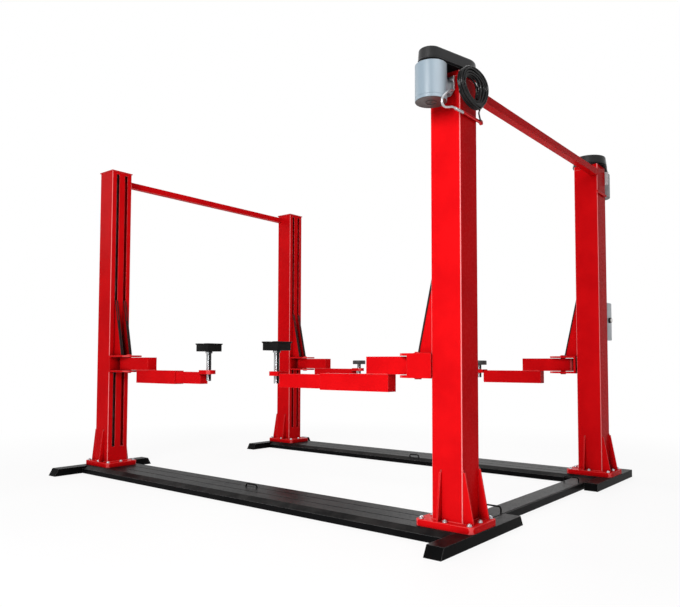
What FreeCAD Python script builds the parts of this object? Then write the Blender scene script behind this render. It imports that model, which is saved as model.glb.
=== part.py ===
import FreeCAD, Part
import math
import os
import re
import Sketcher
from FreeCAD import Placement, Rotation, Vector

# Twin two-column screw lift: a front lift and a rear lift joined into one four-post car lift.
# Lengths are millimetres. X runs from the left columns to the right ones, Y from the front
# lift to the rear lift, Z up. The origin is on the floor, in the middle of the four columns.

SIZES = {
    # spacing of the four columns, centre to centre
    "bay_wide": 3380,
    "lift_gap": 2210,
    # columns: box section with two long slots in the face that looks across the bay
    "column_wide": 188,
    "column_deep": 190,
    "column_wall": 6,
    "column_corner": 9,
    "plain_top": 2594,
    "drive_top": 2505,
    "cap_thick": 8,
    "cap_over": 4,
    "slot_wide": 27,
    "slot_place": 40,
    "slot_bottom": 220,
    "slot_margin": 26,
    # floor frame under the columns
    "base_high": 58,
    "plate_thick": 36,
    "plate_wide": 353,
    "plate_deep": 290,
    "plate_corner": 26,
    "gusset_thick": 10,
    "gusset_inset": 5,
    "gusset_edge": 6,
    "gusset_tip": 12,
    "outer_gusset_edge": 22,
    "outer_gusset_high": 268,
    "side_gusset_high": 260,
    "side_gusset_place": 36,
    "foot_out": 180,
    "foot_wide": 100,
    "foot_long": 922,
    "foot_slope": 32,
    "foot_wall": 8,
    "short_foot_rear": 385,
    "cover_deep": 432,
    "cover_flat": 330,
    "cover_edge": 37,
    "cover_sheet": 6,
    "groove_place": 60,
    "groove_wide": 10,
    "groove_deep": 3,
    "link_wide": 145,
    "link_inset": 10,
    "link_high": 50,
    "link_lip": 8,
    "link_step": 3,
    "handle_rod": 10,
    "handle_high": 28,
    "handle_wide": 108,
    "handle_aside": 33,
    "handle_inward": 37,
    "rear_handle_wide": 97,
    "rear_handle_aside": 82,
    "rear_handle_inward": 157,
    "link_handle_wide": 110,
    "link_handle_high": 44,
    "link_handle_place": 238,
    "link_rear_handle_place": 257,
    # tie bars between the front and the rear columns
    "tie_size": 50,
    "tie_wall": 4,
    "plain_tie_drop": 29,
    "drive_tie_drop": 13,
    # lifting screws and carriages
    "screw_thick": 50,
    "screw_fit": 0.08,
    "carriage_rest": 855,
    "carriage_tall": 615,
    "rib_thick": 14,
    "rib_back": 78,
    "rib_foot": 108,
    "rib_tip": 4,
    "guide_gap": 5,
    "guide_tall": 80,
    "nut_tall": 100,
    "nut_wide": 80,
    "clevis_half": 104,
    "clevis_plate": 14,
    "clevis_tall": 140,
    "clevis_gap": 8,
    "clevis_back": 15,
    "cheek_thick": 10,
    "cheek_place": 100,
    "cheek_reach": 151,
    "cheek_lap": 6,
    "pivot_out": 147,
    "pin_thick": 40,
    "pin_fit": 0.08,
    # arms: a short upper box over a longer lower box, which holds the sliding extension
    "arm_wide": 85,
    "arm_tall": 104,
    "arm_wall": 7,
    "arm_root": 90,
    "arm_root_corner": 35,
    "arm_boss": 66,
    "upper_reach": 331,
    "lower_start": 176,
    "lower_end": 684,
    "slide_fit": 0.3,
    "slide_wall": 6,
    "slide_long": 490,
    "slide_proud": 6,
    "block_thick": 30,
    "block_rise": 15,
    "block_round": 50,
    "block_reach": 55,
    "stem_thick": 38,
    "stem_fit": 0.08,
    "stem_root": 10,
    "tall_stem_low": -55,
    "tall_pad_low": 165,
    "tall_pad_high": 225,
    "saddle_side": 146,
    "saddle_lip": 5,
    "saddle_cross": 46,
    "low_stem_low": -45,
    "low_pad_low": 66,
    "low_pad_high": 105,
    "low_pad_wide": 130,
    # drives on the right columns
    "motor_aside": 16,
    "motor_ahead": 215,
    "motor_wide": 170,
    "motor_tall": 171,
    "motor_cap": 14,
    "cap_narrow": 8,
    "drive_plate": 7,
    "plate_inset": 6,
    "no_inset": 0,
    "cover_aside": 17,
    "cover_ahead": 259,
    "cover_tall": 84,
    "cover_column_end": 130,
    "cover_motor_end": 72,
    "mount_thick": 8,
    "mount_inner": 120,
    "mount_outer": 70,
    "mount_tall": 113,
    "mount_corner": 30,
    "saddle_wide": 50,
    "saddle_tall": 85,
    "rod_thick": 18,
    "rod_long": 200,
    "rod_drop": 205,
    "eye_wide": 28,
    "eye_thick": 12,
    "box_low": 1125,
    "box_high": 1435,
    "box_wide": 130,
    "box_deep": 155,
    "box_shift": 15,
    "box_corner": 8,
    # hanging lead at the front right column
    "coil_wide": 252,
    "coil_tall": 236,
    "coil_thick": 50,
    "coil_corner": 68,
    "coil_open_wide": 90,
    "coil_open_tall": 116,
    "coil_open_corner": 22,
    "coil_open_aside": 20,
    "coil_open_drop": 6,
    "coil_out": 57,
    "coil_ahead": 40.7,
    "coil_low": 2313,
    "lead_thick": 10,
}

# places of the arms in the photographed pose
ARM_TURN = {"front_left": 0.4, "front_right": 2.8, "rear_left": 1.1, "rear_right": 3.9}
SLIDE_OUT = {"front_left": 293.0, "front_right": 342.0, "rear_left": 0.0, "rear_right": 0.0}
CORNERS = ("front_left", "front_right", "rear_left", "rear_right")
# the coil lies flat along the side of the belt cover
COIL_TURN = -9.2
# two points closer than this are one
NEAR = 0.01
# sides of the thin bar that the handles are bent from
BAR_SIDES = 8

doc = FreeCAD.newDocument("FourPostCarLift")
sheet = doc.addObject("Spreadsheet::Sheet", "Sizes")
for row, (name, value) in enumerate(SIZES.items(), start=1):
    sheet.set("A%d" % row, str(value))
    sheet.setAlias("A%d" % row, name)
doc.recompute()

pieces = []


def sheet_text(text):
    """Write the names of sizes in an expression as cells of the sheet."""
    def cell(word):
        return "Sizes." + word.group() if word.group() in SIZES else word.group()

    return re.sub(r"[a-z_]+", cell, text)


def bind(thing, prop, text):
    thing.setExpression(prop, sheet_text(text))


def place(thing, x="0", y="0", z="0", turn=0.0, axis=Vector(0, 0, 1)):
    thing.Placement = Placement(Vector(0, 0, 0), Rotation(axis, turn))
    bind(thing, "Placement.Base.x", x)
    bind(thing, "Placement.Base.y", y)
    bind(thing, "Placement.Base.z", z)
    return thing


def block(name, long, deep, tall, x="0", y="0", z="0"):
    """A box whose lowest corner is at x, y, z."""
    box = doc.addObject("Part::Box", name)
    bind(box, "Length", long)
    bind(box, "Width", deep)
    bind(box, "Height", tall)
    return place(box, x, y, z)


def rod(name, radius, tall, x="0", y="0", z="0", turn=0.0, axis=Vector(0, 0, 1)):
    """A round bar that starts at x, y, z and runs up, or along another axis when turned."""
    bar = doc.addObject("Part::Cylinder", name)
    bind(bar, "Radius", radius)
    bind(bar, "Height", tall)
    return place(bar, x, y, z, turn, axis)


def fuse(name, shapes):
    whole = doc.addObject("Part::MultiFuse", name)
    whole.Shapes = shapes
    whole.Refine = True
    return whole


def cut(name, base, tool):
    left = doc.addObject("Part::Cut", name)
    left.Base = base
    left.Tool = tool
    left.Refine = True
    return left


def rounded(name, base, radius, wanted, kind="Part::Fillet"):
    """Round the edges of a piece for which wanted(edge) is true, or cut them at 45 degrees."""
    doc.recompute()
    chosen = [number for number, edge in enumerate(base.Shape.Edges, start=1) if wanted(edge)]
    soft = doc.addObject(kind, name)
    soft.Base = base
    soft.Edges = [(number, SIZES[radius], SIZES[radius]) for number in chosen]
    return soft


def runs_along(edge, axis):
    """True for a straight edge along the given axis, 0 for X, 1 for Y, 2 for Z."""
    if not isinstance(edge.Curve, Part.Line):
        return False
    return abs(abs(edge.Curve.Direction[axis]) - 1) < 1e-6


def origin_plane(body, role):
    return next(item for item in body.Origin.OriginFeatures if item.Role == role)


def on_plane(body, name, role):
    """An empty sketch on one of the origin planes of a body."""
    sketch = body.newObject("Sketcher::SketchObject", name)
    sketch.AttachmentSupport = [(origin_plane(body, role), "")]
    sketch.MapMode = "FlatFace"
    return sketch


def draw(sketch, points, closed):
    """Straight lines through points, each point fixed by two expressions."""
    worth = [(number_of(across), number_of(upward)) for across, upward in points]
    count = len(points)
    lines = count if closed else count - 1
    for index in range(lines):
        start = worth[index]
        stop = worth[(index + 1) % count]
        sketch.addGeometry(Part.LineSegment(Vector(*start, 0), Vector(*stop, 0)), False)
    for index in range(lines if closed else lines - 1):
        sketch.addConstraint(Sketcher.Constraint("Coincident", index, 2, (index + 1) % count, 1))
    for index, (across, upward) in enumerate(points):
        line, end = (index, 1) if index < lines else (index - 1, 2)
        for kind, text, value in (("DistanceX", across, worth[index][0]), ("DistanceY", upward, worth[index][1])):
            number = sketch.addConstraint(Sketcher.Constraint(kind, -1, 1, line, end, value))
            sketch.setExpression("Constraints[%d]" % number, sheet_text(text))
    return sketch


def number_of(text):
    """The value of an expression with the sizes as they are in the sheet."""
    return float(sheet.evalExpression(sheet_text(text)))


def prism(name, role, points, thick):
    """An outline on an origin plane, padded evenly to both sides of the plane."""
    body = doc.addObject("PartDesign::Body", name)
    sketch = draw(on_plane(body, name + "_outline", role), points, True)
    pad = body.newObject("PartDesign::Pad", name + "_pad")
    pad.Profile = sketch
    pad.SideType = "Symmetric"
    bind(pad, "Length", thick)
    return body


def bent_bar(name, thick, points):
    """A thin bar of eight sides along a line of points in the XZ plane, with mitred corners."""
    body = doc.addObject("PartDesign::Body", name + "_frame")
    spine = draw(on_plane(body, name + "_line", "XZ_Plane"), points, False)
    first, second = [Vector(number_of(across), 0, number_of(upward)) for across, upward in points[:2]]
    ring = doc.addObject("Part::RegularPolygon", name + "_ring")
    ring.Polygon = BAR_SIDES
    bind(ring, "Circumradius", thick + " / 2")
    place(ring, points[0][0], "0", points[0][1])
    ring.Placement.Rotation = Rotation(Vector(0, 0, 1), second - first)
    bar = doc.addObject("Part::Sweep", name)
    bar.Sections = [ring]
    bar.Spine = (spine, ["Edge%d" % number for number in range(1, len(points))])
    bar.Solid = True
    bar.Transition = "Right corner"
    return bar


def keep(thing, label):
    thing.Label = label
    pieces.append(thing)
    return thing


def is_right(corner):
    return corner.endswith("right")


def corner_x(corner):
    return "bay_wide / 2" if is_right(corner) else "-bay_wide / 2"


def corner_y(corner):
    return "-lift_gap / 2" if corner.startswith("front") else "lift_gap / 2"


def stand(thing, corner, z="0"):
    """Put a piece on its column: local +X looks across the bay, towards the other column."""
    turn = 180.0 if is_right(corner) else 0.0
    return place(thing, corner_x(corner), corner_y(corner), z, turn)


def column(corner):
    """Box column with two long slots for the ribs of the carriage, and a closed top."""
    top = "drive_top" if is_right(corner) else "plain_top"
    tag = "column_" + corner
    outer = block(tag + "_outer", "column_wide", "column_deep", top + " - base_high - plate_thick",
                  "-column_wide / 2", "-column_deep / 2", "base_high + plate_thick")
    soft = rounded(tag + "_soft", outer, "column_corner", lambda edge: runs_along(edge, 2))
    hollow = block(tag + "_hollow", "column_wide - 2 * column_wall", "column_deep - 2 * column_wall",
                   top + " - base_high - plate_thick - cap_thick",
                   "column_wall - column_wide / 2", "column_wall - column_deep / 2", "base_high + plate_thick")
    slots = []
    for side, sign in (("near", "-"), ("far", "")):
        slots.append(block(tag + "_slot_" + side, "2 * column_wall", "slot_wide",
                           top + " - slot_margin - slot_bottom",
                           "column_wide / 2 - 1.5 * column_wall", sign + "slot_place - slot_wide / 2",
                           "slot_bottom"))
    post = cut(tag + "_post", soft, fuse(tag + "_spaces", [hollow] + slots))
    if not is_right(corner):
        cap = block(tag + "_cap", "column_wide + 2 * cap_over", "column_deep + 2 * cap_over", "cap_thick",
                    "-column_wide / 2 - cap_over", "-column_deep / 2 - cap_over", top + " - cap_thick / 2")
        nut = rod(tag + "_nut", "screw_thick / 2", "2 * cap_thick", "0", "0", top + " - cap_thick / 2")
        post = fuse(tag + "_capped", [post, cap, nut])
    return keep(stand(post, corner), tag)


def base_plate(corner):
    """Thick plate under a column with two tall gussets outside and one on each side face."""
    tag = "base_plate_" + corner
    low = "base_high + plate_thick"
    slab = block(tag + "_slab", "plate_wide", "plate_deep", "plate_thick",
                 "-plate_wide / 2", "-plate_deep / 2", "base_high")
    soft = rounded(tag + "_soft", slab, "plate_corner", lambda edge: runs_along(edge, 2), "Part::Chamfer")
    parts = [soft]
    outside = [("-column_wide / 2", low), ("outer_gusset_edge - plate_wide / 2", low),
               ("outer_gusset_edge - plate_wide / 2", low + " + gusset_tip"),
               ("-column_wide / 2 - gusset_tip", low + " + outer_gusset_high"),
               ("-column_wide / 2", low + " + outer_gusset_high")]
    for side, sign in (("near", "-1"), ("far", "1")):
        rib = prism(tag + "_outer_" + side, "XZ_Plane", outside, "gusset_thick")
        parts.append(place(rib, "0", sign + " * (column_deep / 2 - gusset_inset - gusset_thick / 2)"))
    for side, sign in (("near", "-1"), ("far", "1")):
        beside = [(sign + " * column_deep / 2", low), (sign + " * (plate_deep / 2 - gusset_edge)", low),
                  (sign + " * (plate_deep / 2 - gusset_edge)", low + " + gusset_tip"),
                  (sign + " * (column_deep / 2 + gusset_tip)", low + " + side_gusset_high"),
                  (sign + " * column_deep / 2", low + " + side_gusset_high")]
        rib = prism(tag + "_side_" + side, "YZ_Plane", beside, "gusset_thick")
        parts.append(place(rib, "side_gusset_place"))
    return keep(stand(fuse(tag + "_whole", parts), corner), tag)


def foot(corner):
    """Folded channel along the outer side of a column, with sloped ends on three of the four."""
    tag = "foot_" + corner
    near = "-foot_long / 2"
    far = "foot_long / 2"
    slope = "foot_slope"
    if corner == "rear_right":
        far = "short_foot_rear"
        slope = "0 * foot_slope"
    shell = [(near, "0"), (far, "0"), (far + " - " + slope, "base_high"), (near + " + " + slope, "base_high")]
    inside = [(near + " + foot_wall", "0"), (far + " - foot_wall", "0"),
              (far + " - foot_wall - " + slope, "base_high - foot_wall"),
              (near + " + foot_wall + " + slope, "base_high - foot_wall")]
    outer = prism(tag + "_shell", "YZ_Plane", shell, "foot_wide")
    inner = prism(tag + "_inside", "YZ_Plane", inside, "foot_wide - 2 * foot_wall")
    bar = cut(tag + "_bar", outer, inner)
    across = "bay_wide / 2 + foot_out - foot_wide / 2"
    if not is_right(corner):
        across = "-(" + across + ")"
    return keep(place(bar, across, corner_y(corner)), tag)


def base_cover(lift):
    """Low folded cover across the floor between the two columns of a lift, with two grooves on top."""
    tag = "base_cover_" + lift
    half = "cover_deep / 2"
    flat = "cover_flat / 2"
    outside = [("-" + half, "0"), ("-" + half, "cover_edge"), ("-" + flat, "base_high")]
    for sign in ("-", ""):
        middle = sign + "groove_place"
        outside += [(middle + " - groove_wide / 2", "base_high"), (middle, "base_high - groove_deep"),
                    (middle + " + groove_wide / 2", "base_high")]
    outside += [(flat, "base_high"), (half, "cover_edge"), (half, "0")]
    inside = [(half + " - cover_sheet", "0"), (half + " - cover_sheet", "cover_edge - cover_sheet / 2"),
              (flat + " - cover_sheet / 2", "base_high - cover_sheet - groove_deep"),
              ("cover_sheet / 2 - " + flat, "base_high - cover_sheet - groove_deep"),
              ("cover_sheet - " + half, "cover_edge - cover_sheet / 2"), ("cover_sheet - " + half, "0")]
    long = "bay_wide + 2 * (foot_out - foot_wide)"
    tray = prism(tag, "YZ_Plane", outside + inside, long)
    return keep(place(tray, "0", corner_y(lift)), tag)


def link_cover():
    """Narrow cover over the shaft that joins the two lifts, with a stepped lip along each side."""
    half = "link_wide / 2"
    top = "link_high"
    step = top + " - link_step"
    outside = [("-" + half, "0"), ("-" + half, step), ("link_lip - " + half, step), ("link_lip - " + half, top),
               (half + " - link_lip", top), (half + " - link_lip", step), (half, step), (half, "0")]
    inside = [(half + " - cover_sheet", "0"), (half + " - cover_sheet", top + " - link_step - cover_sheet"),
              ("cover_sheet - " + half, top + " - link_step - cover_sheet"), ("cover_sheet - " + half, "0")]
    tray = prism("link_cover", "XZ_Plane", outside + inside, "lift_gap - cover_deep")
    return keep(place(tray, "bay_wide / 2 - link_inset", "0"), "link_cover")


def handle(name, wide, high, x, y, low):
    """Rod handle: two legs on the cover and a bar between them."""
    half = "(" + wide + ") / 2"
    top = high + " - handle_rod / 2"
    line = [("-" + half, "0"), ("-" + half, top), (half, top), (half, "0")]
    return place(bent_bar(name, "handle_rod", line), x, y, low)


def cover_handles():
    """Lifting handles of the floor covers: one on each base cover and two on the link cover."""
    link_x = "bay_wide / 2 - link_inset"
    link_end = "(lift_gap - cover_deep) / 2"
    rods = [handle("handle_front", "handle_wide", "handle_high", "handle_aside", "handle_inward - lift_gap / 2",
                   "base_high"),
            handle("handle_rear", "rear_handle_wide", "handle_high", "rear_handle_aside",
                   "lift_gap / 2 - rear_handle_inward", "base_high"),
            handle("handle_link_front", "link_handle_wide", "link_handle_high", link_x,
                   "link_handle_place - " + link_end, "link_high"),
            handle("handle_link_rear", "link_handle_wide", "link_handle_high", link_x,
                   link_end + " - link_rear_handle_place", "link_high")]
    group = doc.addObject("Part::Compound", "cover_handles")
    group.Links = rods
    return keep(group, "cover_handles")


def tie_bar(side):
    """Square tube between the front and the rear column, flush with their outer faces."""
    tag = "tie_bar_" + side
    top = "drive_top - drive_tie_drop" if side == "right" else "plain_top - plain_tie_drop"
    outer_face = "bay_wide / 2 + column_wide / 2"
    low_x = outer_face + " - tie_size" if side == "right" else "-(" + outer_face + ")"
    long = "lift_gap - column_deep"
    solid = block(tag + "_solid", "tie_size", long, "tie_size", low_x, "-(" + long + ") / 2", top + " - tie_size")
    bore = block(tag + "_bore", "tie_size - 2 * tie_wall", long, "tie_size - 2 * tie_wall",
                 low_x + " + tie_wall", "-(" + long + ") / 2", top + " - tie_size + tie_wall")
    return keep(cut(tag, solid, bore), tag)


def lift_screw(corner):
    """Lifting screw in the middle of a column, from the base plate to the closed top."""
    top = "drive_top - cap_thick" if is_right(corner) else "plain_top - cap_thick"
    low = "(base_high + plate_thick)"
    spindle = rod("lift_screw_" + corner, "screw_thick / 2", top + " - " + low)
    return keep(place(spindle, corner_x(corner), corner_y(corner), low), "lift_screw_" + corner)


def carriage(corner):
    """Two ribs that pass through the slots, the nut and guides inside, and the clevis outside."""
    tag = "carriage_" + corner
    face = "column_wide / 2"
    root = face + " + clevis_gap + clevis_back"
    inside = [("-rib_back", "0"), (root, "0"), (root, "clevis_tall"), (face + " + rib_foot", "clevis_tall"),
              (face + " + rib_tip", "carriage_tall"), ("-rib_back", "carriage_tall")]
    parts = []
    for side, sign in (("near", "-"), ("far", "")):
        rib = prism(tag + "_rib_" + side, "XZ_Plane", inside, "rib_thick")
        parts.append(place(rib, "0", sign + "slot_place"))
        for level, low in (("low", "0"), ("high", "carriage_tall - guide_tall")):
            deep = "column_deep / 2 - column_wall - guide_gap - slot_place - rib_thick / 2"
            start = "slot_place + rib_thick / 2" if sign == "" else "column_wall + guide_gap - column_deep / 2"
            parts.append(block(tag + "_guide_" + side + "_" + level,
                               "column_wide - 2 * column_wall - 2 * guide_gap", deep, "guide_tall",
                               "column_wall + guide_gap - column_wide / 2", start, low))
    gap = "2 * slot_place - rib_thick"
    parts.append(block(tag + "_nut", "nut_wide", gap, "nut_tall", "-nut_wide / 2", "-(" + gap + ") / 2",
                       "clevis_plate"))
    parts.append(block(tag + "_spacer", "rib_back - screw_thick / 2 - guide_gap", gap, "guide_tall / 2",
                       "-rib_back", "-(" + gap + ") / 2", "carriage_tall - guide_tall"))
    start = face + " + clevis_gap"
    pivot = face + " + pivot_out"
    for level, low in (("low", "0"), ("high", "clevis_tall - clevis_plate")):
        parts.append(block(tag + "_plate_" + level, "pivot_out - clevis_gap", "2 * clevis_half", "clevis_plate",
                           start, "-clevis_half", low))
        parts.append(rod(tag + "_end_" + level, "clevis_half", "clevis_plate", pivot, "0", low))
    parts.append(block(tag + "_back", "clevis_back", "2 * clevis_half", "clevis_tall", start, "-clevis_half", "0"))
    if corner == "front_right":
        parts.append(block(tag + "_cheek", "cheek_reach + cheek_lap", "cheek_thick", "clevis_tall",
                           face + " - cheek_lap", "cheek_place", "0"))
    parts.append(rod(tag + "_pin", "pin_thick / 2", "clevis_tall", pivot, "0"))
    thread = rod(tag + "_thread", "screw_thick / 2 + screw_fit", "nut_tall + 2 * clevis_plate")
    whole = cut(tag + "_whole", fuse(tag + "_solid", parts), thread)
    return keep(stand(whole, corner, "carriage_rest"), tag)


def pivot_frame(thing, corner):
    """Put a piece of an arm at its pivot, in the photographed turn."""
    inward = "-1" if is_right(corner) else "1"
    turn = (180.0 if is_right(corner) else 0.0) + ARM_TURN[corner]
    x = corner_x(corner) + " + " + inward + " * (column_wide / 2 + pivot_out)"
    return place(thing, x, corner_y(corner), "carriage_rest", turn)


def arm(corner):
    """Short upper box on the pivot pin, welded on a longer lower box that is open at its far end."""
    tag = "arm_" + corner
    low = "(clevis_tall - arm_tall) / 2"
    half = "arm_wide / 2"
    upper = block(tag + "_upper", "arm_root + upper_reach", "arm_wide", "arm_tall", "-arm_root", "-" + half, low)
    root = -SIZES["arm_root"]
    soft = rounded(tag + "_soft", upper, "arm_root_corner",
                   lambda edge: runs_along(edge, 2) and abs(edge.Vertexes[0].X - root) < NEAR)
    room = block(tag + "_room", "upper_reach - arm_boss / 2 - arm_wall", "arm_wide - 2 * arm_wall",
                 "arm_tall - 2 * arm_wall", "arm_boss / 2", "arm_wall - " + half, low + " + arm_wall")
    lower = block(tag + "_lower", "lower_end - lower_start", "arm_wide", "arm_tall", "lower_start", "-" + half,
                  low + " - arm_tall")
    cavity = block(tag + "_cavity", "lower_end - lower_start", "arm_wide - 2 * arm_wall",
                   "arm_tall - 2 * arm_wall", "lower_start + arm_wall", "arm_wall - " + half,
                   low + " - arm_tall + arm_wall")
    bore = rod(tag + "_bore", "pin_thick / 2 + pin_fit", "clevis_tall")
    whole = cut(tag + "_whole", fuse(tag + "_solid", [soft, lower]), fuse(tag + "_spaces", [room, cavity, bore]))
    return keep(pivot_frame(whole, corner), tag)


def extension(corner):
    """Inner tube that slides in the lower box, with the end block that holds the pad stem."""
    tag = "extension_" + corner
    wide = "arm_wide - 2 * arm_wall - 2 * slide_fit"
    tall = "arm_tall - 2 * arm_wall - 2 * slide_fit"
    low = "(clevis_tall - arm_tall) / 2 - arm_tall + arm_wall + slide_fit"
    out = "%.1f" % SLIDE_OUT[corner]
    end = "lower_end + slide_proud + " + out
    tube = block(tag + "_tube", "slide_long", wide, tall, end + " - slide_long", "-(" + wide + ") / 2", low)
    room = block(tag + "_room", "slide_long", wide + " - 2 * slide_wall", tall + " - 2 * slide_wall",
                 end + " - slide_long - slide_wall", "slide_wall - (" + wide + ") / 2", low + " + slide_wall")
    top = "(clevis_tall - arm_tall) / 2 - arm_wall - slide_fit + block_rise"
    tongue = block(tag + "_tongue", "block_reach", "2 * block_round", "block_thick", end, "-block_round",
                   top + " - block_thick")
    nose = rod(tag + "_nose", "block_round", "block_thick", end + " + block_reach", "0", top + " - block_thick")
    bore = rod(tag + "_bore", "stem_thick / 2 + stem_fit", "2 * block_thick", end + " + block_reach", "0",
               top + " - 1.5 * block_thick")
    hollow_tube = cut(tag + "_hollow", tube, room)
    whole = cut(tag + "_whole", fuse(tag + "_solid", [hollow_tube, tongue, nose]), bore)
    return keep(pivot_frame(whole, corner), tag)


def pad(corner):
    """Threaded stem with a square saddle on the front lift and a low round pad on the rear lift."""
    tag = "pad_" + corner
    centre = "lower_end + slide_proud + %.1f + block_reach" % SLIDE_OUT[corner]
    if corner.startswith("front"):
        stem = rod(tag + "_stem", "stem_thick / 2", "tall_pad_low + stem_root - tall_stem_low", centre, "0",
                   "tall_stem_low")
        half = "saddle_side / 2"
        body = block(tag + "_body", "saddle_side - 2 * saddle_lip", "saddle_side - 2 * saddle_lip",
                     "tall_pad_high - tall_pad_low", centre + " + saddle_lip - " + half, "saddle_lip - " + half,
                     "tall_pad_low")
        lip = block(tag + "_lip", "saddle_side", "saddle_side", "2 * saddle_lip", centre + " - " + half,
                    "-" + half, "tall_pad_high - 2 * saddle_lip")
        groove = block(tag + "_groove", "saddle_cross", "2 * saddle_side", "saddle_lip",
                       centre + " - saddle_cross / 2", "-saddle_side", "tall_pad_high - saddle_lip")
        whole = cut(tag + "_whole", fuse(tag + "_solid", [stem, body, lip]), groove)
    else:
        stem = rod(tag + "_stem", "stem_thick / 2", "low_pad_low + stem_root - low_stem_low", centre, "0",
                   "low_stem_low")
        disc = rod(tag + "_disc", "low_pad_wide / 2", "low_pad_high - low_pad_low", centre, "0", "low_pad_low")
        whole = fuse(tag + "_solid", [stem, disc])
    return keep(pivot_frame(whole, corner), tag)


def drive_turn(lift):
    """The front drive stands before its column; the rear one is the same drive turned half round."""
    return 0.0 if lift == "front" else 180.0


def belt_outline(body, name, inset):
    """Closed outline round both belt wheels: an arc round each of them and the two tangents."""
    sketch = on_plane(body, name, "XY_Plane")
    across = SIZES["cover_aside"]
    along = -SIZES["cover_ahead"]
    apart = math.hypot(across, along)
    heading = math.atan2(along, across)
    lean = math.acos((SIZES["cover_column_end"] - SIZES["cover_motor_end"]) / apart)
    centres = (Vector(0, 0, 0), Vector(across, along, 0))
    radii = (SIZES["cover_column_end"] - SIZES[inset], SIZES["cover_motor_end"] - SIZES[inset])
    corners = [[centre + Vector(math.cos(heading + turn), math.sin(heading + turn), 0) * radius
                for turn in (lean, -lean)] for centre, radius in zip(centres, radii)]
    first = Part.Circle(centres[0], Vector(0, 0, 1), radii[0])
    second = Part.Circle(centres[1], Vector(0, 0, 1), radii[1])
    sketch.addGeometry(Part.ArcOfCircle(first, heading + lean, heading - lean + 2 * math.pi), False)
    sketch.addGeometry(Part.ArcOfCircle(second, heading - lean, heading + lean), False)
    sketch.addGeometry(Part.LineSegment(corners[0][1], corners[1][1]), False)
    sketch.addGeometry(Part.LineSegment(corners[1][0], corners[0][0]), False)
    for first_curve, first_end, next_curve, next_end in ((0, 2, 2, 1), (2, 2, 1, 1), (1, 2, 3, 1), (3, 2, 0, 1)):
        sketch.addConstraint(Sketcher.Constraint("Tangent", first_curve, first_end, next_curve, next_end))
    sketch.addConstraint(Sketcher.Constraint("Coincident", 0, 3, -1, 1))
    for kind, text, value in (("DistanceX", "cover_aside", across), ("DistanceY", "-cover_ahead", along)):
        number = sketch.addConstraint(Sketcher.Constraint(kind, -1, 1, 1, 3, value))
        sketch.setExpression("Constraints[%d]" % number, sheet_text(text))
    for curve, text in ((0, "cover_column_end"), (1, "cover_motor_end")):
        number = sketch.addConstraint(Sketcher.Constraint("Radius", curve, radii[curve]))
        sketch.setExpression("Constraints[%d]" % number, sheet_text(text + " - " + inset))
    return sketch


def belt_cover(lift):
    """Moulded cover over both belt wheels: two round ends joined by tangent sides."""
    tag = "belt_cover_" + lift
    body = doc.addObject("PartDesign::Body", tag)
    pad_up = body.newObject("PartDesign::Pad", tag + "_pad")
    pad_up.Profile = belt_outline(body, tag + "_outline", "no_inset")
    bind(pad_up, "Length", "cover_tall")
    place(body, "bay_wide / 2", corner_y(lift), "drive_top + drive_plate", drive_turn(lift))
    return keep(body, tag)


def motor(lift):
    """Round motor that hangs under the belt cover, with a narrower cap below."""
    tag = "motor_" + lift
    low = "drive_top - motor_tall"
    cap = rod(tag + "_cap", "motor_wide / 2 - cap_narrow", "motor_cap", "0", "0", low)
    shell = rod(tag + "_shell", "motor_wide / 2", "motor_tall - motor_cap", "0", "0", low + " + motor_cap")
    sign = "-" if lift == "front" else "+"
    return keep(place(fuse(tag, [cap, shell]), "bay_wide / 2 " + sign + " motor_aside",
                      corner_y(lift) + " " + sign + " motor_ahead"), tag)


def motor_bracket(lift):
    """Plate on the column top that carries both belt wheels, with the plate and saddle that hold the motor
    on the side of the column."""
    tag = "motor_bracket_" + lift
    face = "-column_deep / 2"
    low = "drive_top - mount_tall"
    mount = [("-mount_inner", low), ("mount_outer - mount_corner", low), ("mount_outer", low + " + mount_corner"),
             ("mount_outer", "drive_top"), ("-mount_inner", "drive_top")]
    plate = place(prism(tag + "_mount", "XZ_Plane", mount, "mount_thick"), "0", face + " - mount_thick / 2")
    saddle = block(tag + "_saddle", "saddle_wide", "motor_ahead - column_deep / 2", "saddle_tall",
                   "-motor_aside - saddle_wide / 2", "-motor_ahead", "drive_top - saddle_tall")
    room = rod(tag + "_room", "motor_wide / 2 + slide_fit", "2 * saddle_tall", "-motor_aside", "-motor_ahead",
               "drive_top - 1.5 * saddle_tall")
    body = doc.addObject("PartDesign::Body", tag + "_plate")
    sheet_up = body.newObject("PartDesign::Pad", tag + "_plate_pad")
    sheet_up.Profile = belt_outline(body, tag + "_plate_outline", "plate_inset")
    bind(sheet_up, "Length", "drive_plate")
    place(body, "0", "0", "drive_top")
    whole = fuse(tag, [plate, cut(tag + "_arch", saddle, room), body])
    return keep(place(whole, "bay_wide / 2", corner_y(lift), turn=drive_turn(lift)), tag)


def tension_rod(lift):
    """Rod with a round eye along the outer face of a right column, below the top."""
    tag = "tension_rod_" + lift
    side = 1 if lift == "front" else -1
    axis = Vector(-side, 0, 0)
    bar = rod(tag + "_bar", "rod_thick / 2", "rod_long", "0", "%d * (-rod_long / 2)" % side, "0", 90.0, axis)
    eye = rod(tag + "_eye", "eye_wide / 2", "eye_thick", "-eye_thick / 2", "%d * rod_long / 2" % side, "0",
              90.0, Vector(0, 1, 0))
    whole = fuse(tag, [bar, eye])
    return keep(place(whole, "bay_wide / 2 + column_wide / 2 + rod_thick / 2",
                      corner_y(lift) + " + %d * eye_wide" % side, "drive_top - rod_drop"), tag)


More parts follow.
